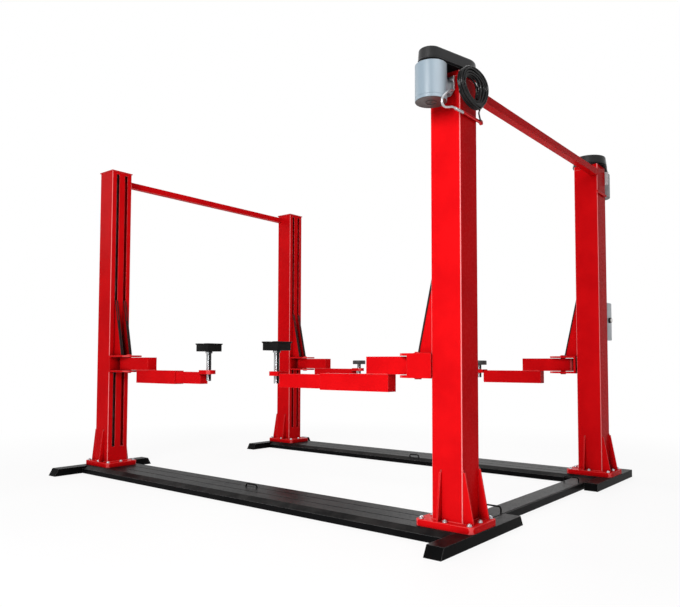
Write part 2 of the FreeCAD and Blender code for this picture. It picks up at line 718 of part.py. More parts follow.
def control_box():
    """Switch box on the rear face of the rear right column."""
    low_x = "bay_wide / 2 + box_shift - box_wide / 2"
    case = block("control_box_case", "box_wide", "box_deep", "box_high - box_low", low_x,
                 "lift_gap / 2 + column_deep / 2", "box_low")
    return keep(rounded("control_box", case, "box_corner", lambda edge: runs_along(edge, 0)), "control_box")


def cable_coil():
    """Outer shape of the lead that hangs in loose turns on the outer face of the front right column."""
    ring = block("coil_ring", "coil_thick", "coil_wide", "coil_tall", "-coil_thick / 2", "-coil_wide / 2", "0")
    doc.recompute()
    ring_soft = doc.addObject("Part::Chamfer", "coil_ring_soft")
    ring_soft.Base = ring
    outer_radius = SIZES["coil_corner"]
    ring_soft.Edges = [(number, outer_radius, outer_radius)
                       for number, edge in enumerate(ring.Shape.Edges, start=1) if runs_along(edge, 0)]
    gap = block("coil_gap", "2 * coil_thick", "coil_open_wide", "coil_open_tall", "-coil_thick",
                "-coil_open_wide / 2 - coil_open_aside", "(coil_tall - coil_open_tall) / 2 - coil_open_drop")
    doc.recompute()
    gap_soft = doc.addObject("Part::Chamfer", "coil_gap_soft")
    gap_soft.Base = gap
    inner_radius = SIZES["coil_open_corner"]
    gap_soft.Edges = [(number, inner_radius, inner_radius)
                      for number, edge in enumerate(gap.Shape.Edges, start=1) if runs_along(edge, 0)]
    coil = cut("cable_coil", ring_soft, gap_soft)
    across = "bay_wide / 2 + column_wide / 2 + coil_out"
    along = "-lift_gap / 2 - coil_ahead"
    return keep(place(coil, across, along, "coil_low", COIL_TURN), "cable_coil")


# route of the loose end, from the lower side of the coil to the eye of the tension rod
TAIL_ROUTE = (Vector(1845, -1120, 2338), Vector(1820, -1055, 2316), Vector(1797, -985, 2303))


def tangent_path(points):
    """Straight runs joined by tangent arcs, each as large as its two runs allow."""
    edges = []
    start = points[0]
    for before, corner, after in zip(points, points[1:], points[2:]):
        back = before - corner
        ahead = after - corner
        half_turn = (math.pi - back.getAngle(ahead)) / 2
        reach = 0.45 * min(back.Length, ahead.Length)
        radius = reach / math.tan(half_turn)
        print("arc radius %.0f, runs %.0f and %.0f" % (radius, back.Length, ahead.Length))
        enter = corner + back.normalize() * reach
        leave = corner + ahead.normalize() * reach
        inward = (back + ahead).normalize()
        middle = corner + inward * (radius / math.cos(half_turn) - radius)
        edges.append(Part.LineSegment(start, enter).toShape())
        edges.append(Part.Arc(enter, middle, leave).toShape())
        start = leave
    edges.append(Part.LineSegment(start, points[-1]).toShape())
    return Part.Wire(edges)


def cable_tail():
    """The stretch of lead that leaves the coil, a round tube along its route."""
    path = tangent_path(TAIL_ROUTE)
    first = TAIL_ROUTE[1] - TAIL_ROUTE[0]
    ring = Part.Wire(Part.Circle(TAIL_ROUTE[0], first, SIZES["lead_thick"] / 2).toShape())
    tube = doc.addObject("Part::Feature", "cable_tail")
    tube.Shape = path.makePipeShell([ring], True, False)
    straight = path.Length * math.pi * SIZES["lead_thick"] ** 2 / 4
    print("tail %.0f long, volume ratio %.4f" % (path.Length, tube.Shape.Volume / straight))
    return keep(tube, "cable_tail")


for corner in CORNERS:
    column(corner)
    base_plate(corner)
    foot(corner)
    lift_screw(corner)
    carriage(corner)
    arm(corner)
    extension(corner)
    pad(corner)
for lift in ("front", "rear"):
    base_cover(lift)
    belt_cover(lift)
    motor(lift)
    motor_bracket(lift)
    tension_rod(lift)
link_cover()
cover_handles()
tie_bar("left")
tie_bar("right")
control_box()
cable_coil()
cable_tail()

doc.recompute()
for thing in doc.Objects:
    if "Invalid" in thing.State or "Error" in thing.State:
        raise RuntimeError("failed: %s %s" % (thing.Name, thing.State))
os.makedirs("parts", exist_ok=True)
for piece in pieces:
    if piece.Shape.isNull() or not piece.Shape.isValid():
        raise RuntimeError("bad shape: " + piece.Label)
    piece.Shape.exportStep(os.path.join("parts", piece.Label + ".step"))
    box = piece.Shape.BoundBox
    print("%-26s solids %d  volume %9.0f cm3  x %6.0f %6.0f  y %6.0f %6.0f  z %5.0f %5.0f" % (
        piece.Label, len(piece.Shape.Solids), piece.Shape.Volume / 1000,
        box.XMin, box.XMax, box.YMin, box.YMax, box.ZMin, box.ZMax))
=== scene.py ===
import math

import bpy
import numpy as np
from mathutils import Matrix, Vector


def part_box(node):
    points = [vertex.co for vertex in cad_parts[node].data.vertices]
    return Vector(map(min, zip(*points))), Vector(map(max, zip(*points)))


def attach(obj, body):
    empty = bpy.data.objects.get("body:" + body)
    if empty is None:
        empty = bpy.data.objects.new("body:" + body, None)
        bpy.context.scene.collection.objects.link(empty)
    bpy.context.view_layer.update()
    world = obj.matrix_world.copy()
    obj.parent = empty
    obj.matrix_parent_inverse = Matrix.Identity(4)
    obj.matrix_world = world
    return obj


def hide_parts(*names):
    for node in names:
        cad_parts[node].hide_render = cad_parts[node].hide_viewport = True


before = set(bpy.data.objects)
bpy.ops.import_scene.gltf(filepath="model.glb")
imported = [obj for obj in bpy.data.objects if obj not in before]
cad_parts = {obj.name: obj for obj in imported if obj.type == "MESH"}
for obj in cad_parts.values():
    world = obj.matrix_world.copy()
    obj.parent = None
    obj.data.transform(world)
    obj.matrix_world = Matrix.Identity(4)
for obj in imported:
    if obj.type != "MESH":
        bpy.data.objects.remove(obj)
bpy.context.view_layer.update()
scene = bpy.context.scene
UP = np.array((0.0, 0.0, 1.0))

# places and sizes that the pieces below share with the solids, in metres
COLUMN_X = 1.69
COLUMN_Y = 1.105
COLUMN_HALF = 0.094     # half a column's width
COLUMN_DEEP = 0.095     # half its depth
DRIVE_TOP = 2.505       # top of the right columns' solids
PLAIN_TOP = 2.594       # top of the left columns' solids
PLATE_TOP = 0.094
PLATE_THICK = 0.036
CARRIAGE_LOW = 0.855
CLEVIS_TALL = 0.14
PIVOT_X = COLUMN_X - COLUMN_HALF - 0.147
ARM_TURN = {"front_left": 0.4, "front_right": 2.8, "rear_left": 1.1, "rear_right": 3.9}
PAD_REACH = {"front_left": 1.038, "front_right": 1.087, "rear_left": 0.745, "rear_right": 0.745}
CORNERS = tuple(ARM_TURN)


def side_of(corner):
    return 1 if corner.endswith("right") else -1


def row_of(corner):
    return -1 if corner.startswith("front") else 1


def place_at(corner, x, height):
    return (side_of(corner) * x, row_of(corner) * COLUMN_Y, height)


def arm_heading(corner):
    """Direction of an arm at rest, left arms along X and right arms against it but for a small turn."""
    return math.radians(ARM_TURN[corner] + (180 if side_of(corner) > 0 else 0))


# the camera, worked out from the straight edges of the photograph
PHOTO_WIDE = 680
PHOTO_TALL = 607
CAMERA_PLACE = (3.543, -4.356, 0.946)
YAW = math.radians(39.21)
PITCH = math.radians(2.8)
ROLL = math.radians(0.13)
FOCAL_PIXELS = 668.5
CENTRE_PIXEL = (342.7, 329.0)
SENSOR = 36.0
FAR_CLIP = 200.0


def make_camera():
    """A camera turned by yaw, pitch and roll, its optical centre shifted off the middle."""
    data = bpy.data.cameras.new("camera")
    data.sensor_fit = "HORIZONTAL"
    data.sensor_width = SENSOR
    data.lens = FOCAL_PIXELS / PHOTO_WIDE * SENSOR
    data.shift_x = -(CENTRE_PIXEL[0] - PHOTO_WIDE / 2) / PHOTO_WIDE
    data.shift_y = (CENTRE_PIXEL[1] - PHOTO_TALL / 2) / PHOTO_WIDE
    data.clip_end = FAR_CLIP
    flat = math.cos(PITCH)
    ahead = Vector((-math.sin(YAW) * flat, math.cos(YAW) * flat, math.sin(PITCH)))
    level = Vector((math.cos(YAW), math.sin(YAW), 0.0))
    above = level.cross(ahead)
    right = level * math.cos(ROLL) + above * math.sin(ROLL)
    up = above * math.cos(ROLL) - level * math.sin(ROLL)
    camera = bpy.data.objects.new("camera", data)
    turn = Matrix((right, up, -ahead)).transposed().to_4x4()
    camera.matrix_world = Matrix.Translation(CAMERA_PLACE) @ turn
    scene.collection.objects.link(camera)
    scene.camera = camera


make_camera()

# the hanging lead
LEAD = 0.01
LEAD_EXIT = (1.797, -0.985, 2.303)
LEAD_RISE = (1.82, -1.055, 2.316)
COIL_MIDDLE = np.array((1.84104, -1.14567, 2.431))
COIL_TURN = math.radians(-12.5)
COIL_OUTWARD = np.array((math.cos(COIL_TURN), math.sin(COIL_TURN), 0.0))
COIL_ALONG = np.array((-math.sin(COIL_TURN), math.cos(COIL_TURN), 0.0))
# across, outward and up from the middle of the coil
LEAD_ENTRY = ((0.052, -0.008, -0.112), (0.036, 0.008, -0.115))
LEAD_LAST = ((-0.04, -0.02, 0.108), (-0.052, -0.038, 0.107))


def coil_point(across, outward, upward):
    return COIL_MIDDLE + across * COIL_ALONG + outward * COIL_OUTWARD + upward * UP


def coil_turns():
    """Four layers of turns, each a flat spiral that runs inwards or outwards in turn. A point at angle
    a lies on an oval whose half axes and middle go from the outer oval to the inner one. The oval is
    narrower low down, by 1 + taper sin a, leans aside by lean sin a |sin a|, and its half axes waver,
    more so away from the outermost turn."""
    layers, degrees, per_turn = 4, 6200, 16
    outer_wide, lost_wide = 0.117, 0.064
    outer_tall, lost_tall = 0.111, 0.045
    taper, lean = 0.14, 0.022
    half_thick, glide_share = 0.014, 0.1
    count = degrees * per_turn // 360
    run = np.linspace(0.0, 1.0, count)
    angle = np.radians(-90.0 - degrees * run)
    step = run * layers
    layer = np.minimum(np.floor(step), layers - 1)
    within = step - layer
    inward = np.where(layer % 2 == 0, within, 1.0 - within)
    waver = 0.0045 * np.clip(inward * 3.0, 0.0, 1.0)
    wide = outer_wide - lost_wide * inward + (0.002 + waver) * np.sin(1.31 * angle + 2 * layer)
    tall = outer_tall - lost_tall * inward + (0.0015 + waver) * np.cos(1.23 * angle + layer)
    rise = np.sin(angle)
    across = -0.02 * inward + wide * (1.0 + taper * rise) * np.cos(angle) - lean * rise * np.abs(rise)
    upward = -0.006 * inward + tall * rise
    glide = np.clip((within - (1.0 - glide_share)) / glide_share, 0.0, 1.0)
    level = layer + np.where(layer < layers - 1, glide, 0.0)
    outward = half_thick - 2 * half_thick * level / (layers - 1) + 0.0012 * np.sin(1.7 * angle)
    return [coil_point(*row) for row in zip(across, outward, upward)]


def hanging_lead():
    """One limp lead: from the eye of the rod up to the coil, round its turns and into the tray."""
    points = [LEAD_EXIT, LEAD_RISE] + [coil_point(*row) for row in LEAD_ENTRY]
    points += coil_turns() + [coil_point(*row) for row in LEAD_LAST]
    data = bpy.data.curves.new("hanging_lead", "CURVE")
    data.dimensions = "3D"
    data.bevel_depth = LEAD / 2
    data.bevel_resolution = 3
    data.use_fill_caps = True
    data.resolution_u = 6
    spline = data.splines.new("NURBS")
    spline.points.add(len(points) - 1)
    spline.points.foreach_set("co", np.hstack((np.array(points), np.ones((len(points), 1)))).ravel())
    spline.order_u = 3
    spline.use_endpoint_u = True
    lead = bpy.data.objects.new("hanging_lead", data)
    scene.collection.objects.link(lead)
    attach(lead, "frame")
    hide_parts("cable_coil", "cable_tail")
    return lead


lead = hanging_lead()


def shell(grid):
    """A closed shell from rings of points: quads between the rings and a flat face on each end.
    Rings run anticlockwise about the way in which they follow one another, so faces point outwards."""
    rings, around = grid.shape[:2]
    index = np.arange(rings * around).reshape(rings, around)
    beside = np.roll(index, -1, axis=1)
    quads = np.stack((index[:-1], beside[:-1], beside[1:], index[1:]), axis=-1).reshape(-1, 4)
    faces = quads.tolist() + [index[0, ::-1].tolist(), index[-1].tolist()]
    return grid.reshape(-1, 3), faces


def full_turn(around):
    return np.arange(around) * 2 * math.pi / around


def unit(vectors):
    """Vectors over their lengths."""
    return vectors / np.linalg.norm(vectors, axis=-1, keepdims=True)


def circle(radius, around=48):
    """Outline as arc centres, arc radii and angles: one full arc round the origin."""
    return np.zeros((around, 2)), np.full(around, radius), full_turn(around)


def rounded_polygon(corners, radius, steps=5):
    """Outline of a convex polygon given by the centres of its round corners, anticlockwise: each corner
    is an arc from the normal of the side before it to the normal of the side after it."""
    corners = np.array(corners, float)
    after = np.roll(corners, -1, axis=0) - corners
    heading = np.arctan2(after[:, 1], after[:, 0]) - math.pi / 2
    before = np.roll(heading, 1)
    turn = np.mod(heading - before, 2 * math.pi)
    share = np.linspace(0.0, 1.0, steps)
    angles = (before[:, None] + turn[:, None] * share[None]).ravel()
    return np.repeat(corners, steps, axis=0), np.full(len(angles), radius), angles


def inner_corners(corners, radius):
    """Centres of the arcs that round the corners of an anticlockwise polygon: each corner is moved in
    by the two inward normals added up, times the radius over one plus their product."""
    corners = np.array(corners, float)
    ahead = unit(np.roll(corners, -1, axis=0) - corners)
    normal = np.stack((-ahead[:, 1], ahead[:, 0]), axis=1)
    before = np.roll(normal, 1, axis=0)
    return corners + radius * (before + normal) / (1.0 + np.sum(before * normal, axis=1))[:, None]


def cut_plate(corners, thick, radius=0.003, soft=0.001):
    """A flat plate of polygon outline with round corners and soft edges, lying on the origin plane."""
    outline = rounded_polygon(inner_corners(corners, radius), radius, 4)
    return softened(outline, thick, soft, soft, 3)


def rounded_box(wide, deep, radius, steps=5):
    """Outline of a rectangle with round corners, its middle at the origin."""
    across = wide / 2 - radius
    along = deep / 2 - radius
    corners = ((across, along), (-across, along), (-across, -along), (across, -along))
    return rounded_polygon(corners, radius, steps)


def hexagon(flats, radius=0.0012):
    """Outline of a hexagon of the given width across its flats, with slightly round corners."""
    reach = (flats / 2 - radius) / math.cos(math.pi / 6)
    turn = math.pi / 3 * np.arange(6)
    return rounded_polygon(np.stack((reach * np.cos(turn), reach * np.sin(turn)), axis=1), radius, 2)


def moulded(outline, insets, heights):
    """Each ring is the outline moved inwards by its inset and lifted to its height."""
    centres, radii, angles = outline
    heading = np.stack((np.cos(angles), np.sin(angles)), axis=1)
    reach = radii[None, :] - insets[:, None]
    flat = centres[None] + reach[..., None] * heading[None]
    lift = np.broadcast_to(heights[:, None, None], flat.shape[:2] + (1,))
    return shell(np.concatenate((flat, lift), axis=2))


def softened(outline, tall, low, high, steps=4):
    """The outline drawn up to a height, with a quarter arc of its own radius at each end."""
    quarter = np.linspace(0.0, math.pi / 2, steps)
    level, upright = 1 - np.cos(quarter), 1 - np.sin(quarter)
    insets = np.concatenate((low * upright, high * level))
    return moulded(outline, insets, np.concatenate((low * level, tall - high * upright)))


def quarter_arc(radius, inset, height, steps):
    """Rows of inset and height of a shoulder that turns from upright to level."""
    angle = np.linspace(0.0, math.pi / 2, steps)
    return np.stack((inset + radius * (1 - np.cos(angle)), height + radius * np.sin(angle)), axis=1)


def profile(*rows):
    """Insets and heights from rows of (inset, height), one below the other."""
    return np.concatenate([np.array(row, float) for row in rows]).T


def swept(path, section, side):
    """The section carried along the path: its first axis is the side direction, its second one is the
    path's direction crossed with the side."""
    side = np.array(side, float)
    other = unit(np.cross(unit(np.gradient(path, axis=0)), side[None]))
    across = section[None, :, :1] * side[None, None]
    return shell(path[:, None] + across + section[None, :, 1:] * other[:, None])


def ring_section(radius, around=20):
    """Points of a circle as a section for swept."""
    angles = full_turn(around)
    return radius * np.stack((np.cos(angles), np.sin(angles)), axis=1)


def bent_path(points, radius, steps=7):
    """Straight runs through the points, each corner replaced by a curve that blends its two sides:
    start, corner and end of the bend weighted (1-s)^2, 2s(1-s) and s^2."""
    points = np.array(points, float)
    share = np.linspace(0.0, 1.0, steps)[:, None]
    route = [points[:1]]
    for before, corner, after in zip(points, points[1:], points[2:]):
        start = corner + radius * unit(before - corner)
        stop = corner + radius * unit(after - corner)
        route.append(start * (1 - share) ** 2 + corner * 2 * share * (1 - share) + stop * share ** 2)
    route.append(points[-1:])
    return np.concatenate(route)


def smooth_path(points, steps=6):
    """A curve through all the points: between two neighbours it is the Catmull-Rom cubic."""
    ends = np.concatenate((2 * points[:1] - points[1:2], points, 2 * points[-1:] - points[-2:-1]))
    share = np.linspace(0.0, 1.0, steps, endpoint=False)[None, :, None]
    one, two, three, four = (ends[shift:len(ends) - 3 + shift, None] for shift in range(4))
    cubic = 0.5 * (2 * two + (three - one) * share + (2 * one - 5 * two + 4 * three - four) * share ** 2
                   + (3 * two - one - 3 * three + four) * share ** 3)
    return np.concatenate((cubic.reshape(-1, points.shape[1]), points[-1:]))


def threaded_rod(root, crest, pitch, low, high, around=20, rows_per_turn=4):
    """A rod whose radius at height z and angle a is the root plus a rise that is a flat-topped wave of
    z / pitch - a / full turn: up, level, down, level."""
    root_share = 0.35
    rows = int((high - low) / pitch * rows_per_turn) + 1
    heights = np.linspace(low, high, rows)[:, None]
    angles = full_turn(around)[None, :]
    phase = np.mod(heights / pitch - angles / (2 * math.pi), 1.0)
    rise = np.clip(2.0 - 4.0 * np.abs(phase - 0.5) - root_share, 0.0, 1.0)
    radius = root + (crest - root) * rise
    level = np.broadcast_to(heights, radius.shape)
    return shell(np.stack((radius * np.cos(angles), radius * np.sin(angles), level), axis=2))


def bead(start, stop, radius, rings=41, around=8):
    """A weld bead: round rings along a line, the size of ring k being 1 + ripple sin(pace k). The slant
    is a direction that no bead runs along."""
    ripple, pace = 0.14, 1.7
    slant = (0.3, 0.5, 0.8)
    start = np.array(start, float)
    ahead = np.array(stop, float) - start
    side = unit(np.cross(ahead, slant))
    path = start + ahead * np.linspace(0.0, 1.0, rings)[:, None]
    points, faces = swept(path, ring_section(radius, around), side)
    grid = points.reshape(rings, around, 3)
    swell = 1.0 + ripple * np.sin(np.arange(rings) * pace)[:, None, None]
    grid = path[:, None] + (grid - path[:, None]) * swell
    return grid.reshape(-1, 3), faces


def placed(part, origin, axes=None, turn=0.0):
    """The part turned about its own upright axis, laid along other axes, and moved to its origin."""
    points, faces = part
    cosine, sine = math.cos(turn), math.sin(turn)
    spin = np.array(((cosine, -sine, 0.0), (sine, cosine, 0.0), (0.0, 0.0, 1.0)))
    points = points @ spin.T
    if axes is not None:
        points = points @ np.array(axes, float)
    return points + np.array(origin, float), faces


# local x, y and z laid along these directions
FACING_RIGHT = ((0, 1, 0), (0, 0, 1), (1, 0, 0))
FACING_FRONT = ((1, 0, 0), (0, 0, 1), (0, -1, 0))
FACING_DOWN = ((1, 0, 0), (0, -1, 0), (0, 0, -1))


def at_drive(parts, lift):
    """Parts drawn round the axis of the front right column, at its top, put on the column of a lift."""
    origin = (COLUMN_X, row_of(lift) * COLUMN_Y, DRIVE_TOP)
    return [placed(part, origin, turn=0.0 if lift == "front" else math.pi) for part in parts]


SHARP_ANGLE = math.radians(38)


def piece(name, parts, material, replaces=(), body="frame"):
    """One object from closed shells, its place in its mesh."""
    points = np.concatenate([part[0] for part in parts])
    faces = []
    start = 0
    for part in parts:
        faces += [[start + number for number in face] for face in part[1]]
        start += len(part[0])
    mesh = bpy.data.meshes.new(name)
    mesh.from_pydata(points.tolist(), [], faces)
    mesh.shade_smooth()
    mesh.set_sharp_from_angle(angle=SHARP_ANGLE)
    mesh.materials.append(material)
    thing = bpy.data.objects.new(name, mesh)
    scene.collection.objects.link(thing)
    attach(thing, body)
    if replaces:
        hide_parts(*replaces)


def new_group(name, inputs, outputs):
    """A node group with named float inputs and named outputs, and the sockets of both inside it."""
    group = bpy.data.node_groups.new(name, "ShaderNodeTree")
    for label, value in inputs:
        socket = group.interface.new_socket(label, in_out="INPUT", socket_type="NodeSocketFloat")
        socket.default_value = value
    for label in outputs:
        kind = "NodeSocketVector" if label == "Normal" else "NodeSocketFloat"
        group.interface.new_socket(label, in_out="OUTPUT", socket_type=kind)
    given = group.nodes.new("NodeGroupInput").outputs
    return group, given, group.nodes.new("NodeGroupOutput").inputs


def wire(tree, source, target):
    """A socket wired to another one, or set to a number or a colour."""
    if isinstance(source, tuple):
        target.default_value = source + (1.0,)
    elif isinstance(source, (int, float)):
        target.default_value = source
    else:
        tree.links.new(source, target)


def maths(tree, kind, first, second=None, clamp=False):
    """Result of a math node on numbers or sockets."""
    node = tree.nodes.new("ShaderNodeMath")
    node.operation = kind
    node.use_clamp = clamp
    wire(tree, first, node.inputs[0])
    if second is not None:
        wire(tree, second, node.inputs[1])
    return node.outputs[0]


def times(tree, first, second):
    return maths(tree, "MULTIPLY", first, second)


def noise(tree, scale, detail=3.0, rough=0.55, stretch=None):
    """Noise over the object's own coordinates."""
    node = tree.nodes.new("ShaderNodeTexNoise")
    node.inputs["Detail"].default_value = detail
    node.inputs["Roughness"].default_value = rough
    wire(tree, scale, node.inputs["Scale"])
    wire(tree, object_place(tree, stretch), node.inputs["Vector"])
    return node.outputs["Fac"]


def spread(tree, value, low, high):
    """The value mapped from low..high to 0..1 with soft ends."""
    node = tree.nodes.new("ShaderNodeMapRange")
    node.interpolation_type = "SMOOTHSTEP"
    for label, source in (("From Min", low), ("From Max", high), ("Value", value)):
        wire(tree, source, node.inputs[label])
    return node.outputs["Result"]


def object_place(tree, stretch=None):
    """Object coordinates, stretched if asked."""
    where = tree.nodes.new("ShaderNodeTexCoord").outputs["Object"]
    if stretch is None:
        return where
    node = tree.nodes.new("ShaderNodeMapping")
    node.inputs["Scale"].default_value = stretch
    wire(tree, where, node.inputs["Vector"])
    return node.outputs["Vector"]


def parted(tree, vector):
    """The three parts of a vector, by the names of their axes."""
    node = tree.nodes.new("ShaderNodeSeparateXYZ")
    wire(tree, vector, node.inputs[0])
    return node.outputs


def mottle_group():
    """Soft cloudy mask and a finer speckle, for paint that is a little uneven."""
    inputs = (("Scale", 5.0), ("Fine Scale", 90.0))
    group, given, result = new_group("mottle", inputs, ("Cloud", "Speckle"))
    cloud = noise(group, given["Scale"])
    speckle = noise(group, given["Fine Scale"], 2.0)
    wire(group, spread(group, cloud, 0.32, 0.68), result["Cloud"])
    wire(group, spread(group, speckle, 0.45, 0.75), result["Speckle"])
    return group


def edge_group():
    """Softened normal; a mask of the edges where it leaves the flat one, broken up by noise; the same
    mask unbroken, for a painted highlight along edges; and a mask of round edges, where the products
    of the normal's parts are large, for a painted highlight on round corners."""
    inputs = (("Radius", 0.003), ("Wear", 0.5))
    group, given, result = new_group("soft_edge", inputs, ("Normal", "Mask", "Fold", "Round Edge Highlight"))
    bevel = group.nodes.new("ShaderNodeBevel")
    bevel.samples = 4
    wire(group, given["Radius"], bevel.inputs["Radius"])
    soft = bevel.outputs["Normal"]
    flat = group.nodes.new("ShaderNodeNewGeometry").outputs["Normal"]
    dot = group.nodes.new("ShaderNodeVectorMath")
    dot.operation = "DOT_PRODUCT"
    wire(group, soft, dot.inputs[0])
    wire(group, flat, dot.inputs[1])
    bend = maths(group, "SUBTRACT", 1.0, dot.outputs["Value"], True)
    broken = spread(group, noise(group, 38.0, 5.0, 0.65), 0.42, 0.72)
    worn = times(group, spread(group, bend, 0.03, 0.16), broken)
    wire(group, soft, result["Normal"])
    wire(group, times(group, worn, given["Wear"]), result["Mask"])
    wire(group, spread(group, bend, 0.02, 0.1), result["Fold"])
    axes = parted(group, soft)
    pairs = [maths(group, "ABSOLUTE", times(group, axes[one], axes[two]))
             for one, two in (("X", "Y"), ("Y", "Z"), ("X", "Z"))]
    total = maths(group, "ADD", maths(group, "ADD", pairs[0], pairs[1]), pairs[2])
    wire(group, spread(group, total, 0.36, 0.49), result["Round Edge Highlight"])
    return group


def painted_hollow_shade_group():
    """Mask for painted shade: places that are shut in, one less the open share of directions within a
    short reach.
    """
    group, given, result = new_group("hollow", (("Reach", 0.12),), ("Mask",))
    node = group.nodes.new("ShaderNodeAmbientOcclusion")
    node.samples = 6
    wire(group, given["Reach"], node.inputs["Distance"])
    shut = maths(group, "SUBTRACT", 1.0, node.outputs["AO"])
    wire(group, spread(group, shut, 0.38, 0.9), result["Mask"])
    return group


def painted_band_group():
    """Painted highlight: a bright band along upright round steel, by the cosine of the angle between
    the heading of the normal and a given heading, from low to nearly one."""
    group, given, result = new_group("painted_lamp_band", (("Heading", 0.0), ("Low", 0.8)), ("Mask",))
    axes = parted(group, group.nodes.new("ShaderNodeNewGeometry").outputs["Normal"])
    heading = maths(group, "ARCTAN2", axes["Y"], axes["X"])
    cosine = maths(group, "COSINE", maths(group, "SUBTRACT", heading, given["Heading"]))
    wire(group, spread(group, cosine, given["Low"], 0.97), result["Mask"])
    return group


def dust_group():
    """Mask of thin dust on faces that look up, broken up by noise."""
    group, given, result = new_group("dust", (("Amount", 0.3), ("Scale", 7.0)), ("Mask",))
    axes = parted(group, group.nodes.new("ShaderNodeNewGeometry").outputs["Normal"])
    lying = spread(group, axes["Z"], 0.35, 0.95)
    broken = spread(group, noise(group, given["Scale"], 4.0, 0.6), 0.3, 0.75)
    mask = times(group, lying, broken)
    wire(group, times(group, mask, given["Amount"]), result["Mask"])
    return group


def grain_group():
    """Height of fine orange peel or moulded grain, and of long faint scratches."""
    inputs = (("Scale", 300.0), ("Scratch Scale", 9.0))
    group, given, result = new_group("grain", inputs, ("Peel", "Scratches"))
    wire(group, noise(group, given["Scale"], 2.0, 0.5), result["Peel"])
    lines = noise(group, given["Scratch Scale"], 6.0, 0.7, (24.0, 24.0, 1.0))
    wire(group, spread(group, lines, 0.58, 0.72), result["Scratches"])
    return group


MOTTLE = mottle_group()
SOFT_EDGE = edge_group()
DUST = dust_group()
GRAIN = grain_group()
PAINTED_HOLLOW_SHADE = painted_hollow_shade_group()
PAINTED_LAMP_BAND = painted_band_group()


def use_group(tree, group, **values):
    """The outputs of a node that uses a group, some of its inputs set by their names."""
    node = tree.nodes.new("ShaderNodeGroup")
    node.node_tree = group
    for label, value in values.items():
        node.inputs[label].default_value = value
    return node.outputs


def grey(level):
    return (level, level, level)


def blended(tree, share, first, second):
    """Colour between two colours or colour sockets, by a mask."""
    node = tree.nodes.new("ShaderNodeMix")
    node.data_type = "RGBA"
    for socket, value in (("Factor", share), (6, first), (7, second)):
        wire(tree, value, node.inputs[socket])
    return node.outputs[2]


# what all finishes share
DUST_COLOUR = (0.42, 0.4, 0.38)
DUST_ROUGHNESS = 0.5
PEEL_DEPTH = 0.001


def finish(name, colour, shade, rough, rough_spread, metallic=0.0, wear=0.3, worn=grey(0.4),
           dust=0.15, peel=0.03, peel_scale=300.0, radius=0.003, scratches=0.3, cloud=4.0, gloss=0.5,
           deep=None, painted_highlight=None, highlight_mask="Round Edge Highlight", highlight_share=0.6, painted_band=None):
    """A procedural finish: colour and shade mixed by a cloud, worn edges, dust on top, fine grain, a
    deeper colour in hollows as painted shade, lighter edges as a painted highlight and, on round
    pieces, a painted highlight band of another colour at a heading: its degrees, the cosine at its
    edge and its colour."""
    material = bpy.data.materials.new(name)
    material.use_nodes = True
    tree = material.node_tree
    shader = tree.nodes["Principled BSDF"]
    mottle = use_group(tree, MOTTLE, Scale=cloud)
    edge = use_group(tree, SOFT_EDGE, Radius=radius, Wear=wear)
    film = use_group(tree, DUST, Amount=dust)
    grain = use_group(tree, GRAIN, Scale=peel_scale)
    paint = blended(tree, mottle["Cloud"], colour, shade)
    # painted highlight band: the given colour on the side of round pieces that faces the heading
    if painted_band:
        lamp = use_group(tree, PAINTED_LAMP_BAND, Heading=math.radians(painted_band[0]), Low=painted_band[1])
        paint = blended(tree, lamp["Mask"], paint, painted_band[2])
    # painted shade: the deep colour where the place is shut in
    if deep:
        paint = blended(tree, use_group(tree, PAINTED_HOLLOW_SHADE)["Mask"], paint, deep)
    # painted highlight: a lighter colour along the chosen edge mask
    if painted_highlight:
        paint = blended(tree, times(tree, edge[highlight_mask], highlight_share), paint, painted_highlight)
    paint = blended(tree, edge["Mask"], paint, worn)
    paint = blended(tree, film["Mask"], paint, DUST_COLOUR)
    wire(tree, paint, shader.inputs["Base Color"])
    uneven = times(tree, mottle["Speckle"], rough_spread)
    marked = times(tree, grain["Scratches"], rough_spread * scratches)
    matt = times(tree, film["Mask"], DUST_ROUGHNESS)
    marks = maths(tree, "ADD", uneven, marked)
    total = maths(tree, "ADD", marks, maths(tree, "ADD", matt, rough), True)
    wire(tree, total, shader.inputs["Roughness"])
    bump = tree.nodes.new("ShaderNodeBump")
    bump.inputs["Strength"].default_value = peel
    bump.inputs["Distance"].default_value = PEEL_DEPTH
    wire(tree, grain["Peel"], bump.inputs["Height"])
    wire(tree, edge["Normal"], bump.inputs["Normal"])
    wire(tree, bump.outputs["Normal"], shader.inputs["Normal"])
    shader.inputs["Metallic"].default_value = metallic
    shader.inputs["Specular IOR Level"].default_value = gloss
    return material


# Red lacquer: edges worn to a lighter red, partly wear and partly painted sheen; a dark red painted
# shade in hollows; a lighter red painted highlight on round corners.
def red_lacquer(name, painted_highlight, highlight_share):
    return finish(
        name, (0.64, 0.004, 0.006), (0.56, 0.003, 0.005), 0.26, 0.1, gloss=0.01, wear=0.22,
        worn=(0.8, 0.1, 0.1), dust=0.02, peel=0.05, deep=(0.14, 0.001, 0.002), painted_highlight=painted_highlight,
        highlight_share=highlight_share)


# Black lacquer with a grey painted highlight along its edges.
def black_lacquer(name, colour, shade, rough, gloss, dust):
    return finish(
        name, colour, shade, rough, 0.12, gloss=gloss, wear=0.18, worn=grey(0.1), dust=dust, peel=0.04,
        painted_highlight=grey(0.26), highlight_mask="Fold", highlight_share=0.5)


RED = red_lacquer("red_lacquer", (1.0, 0.17, 0.17), 0.45)
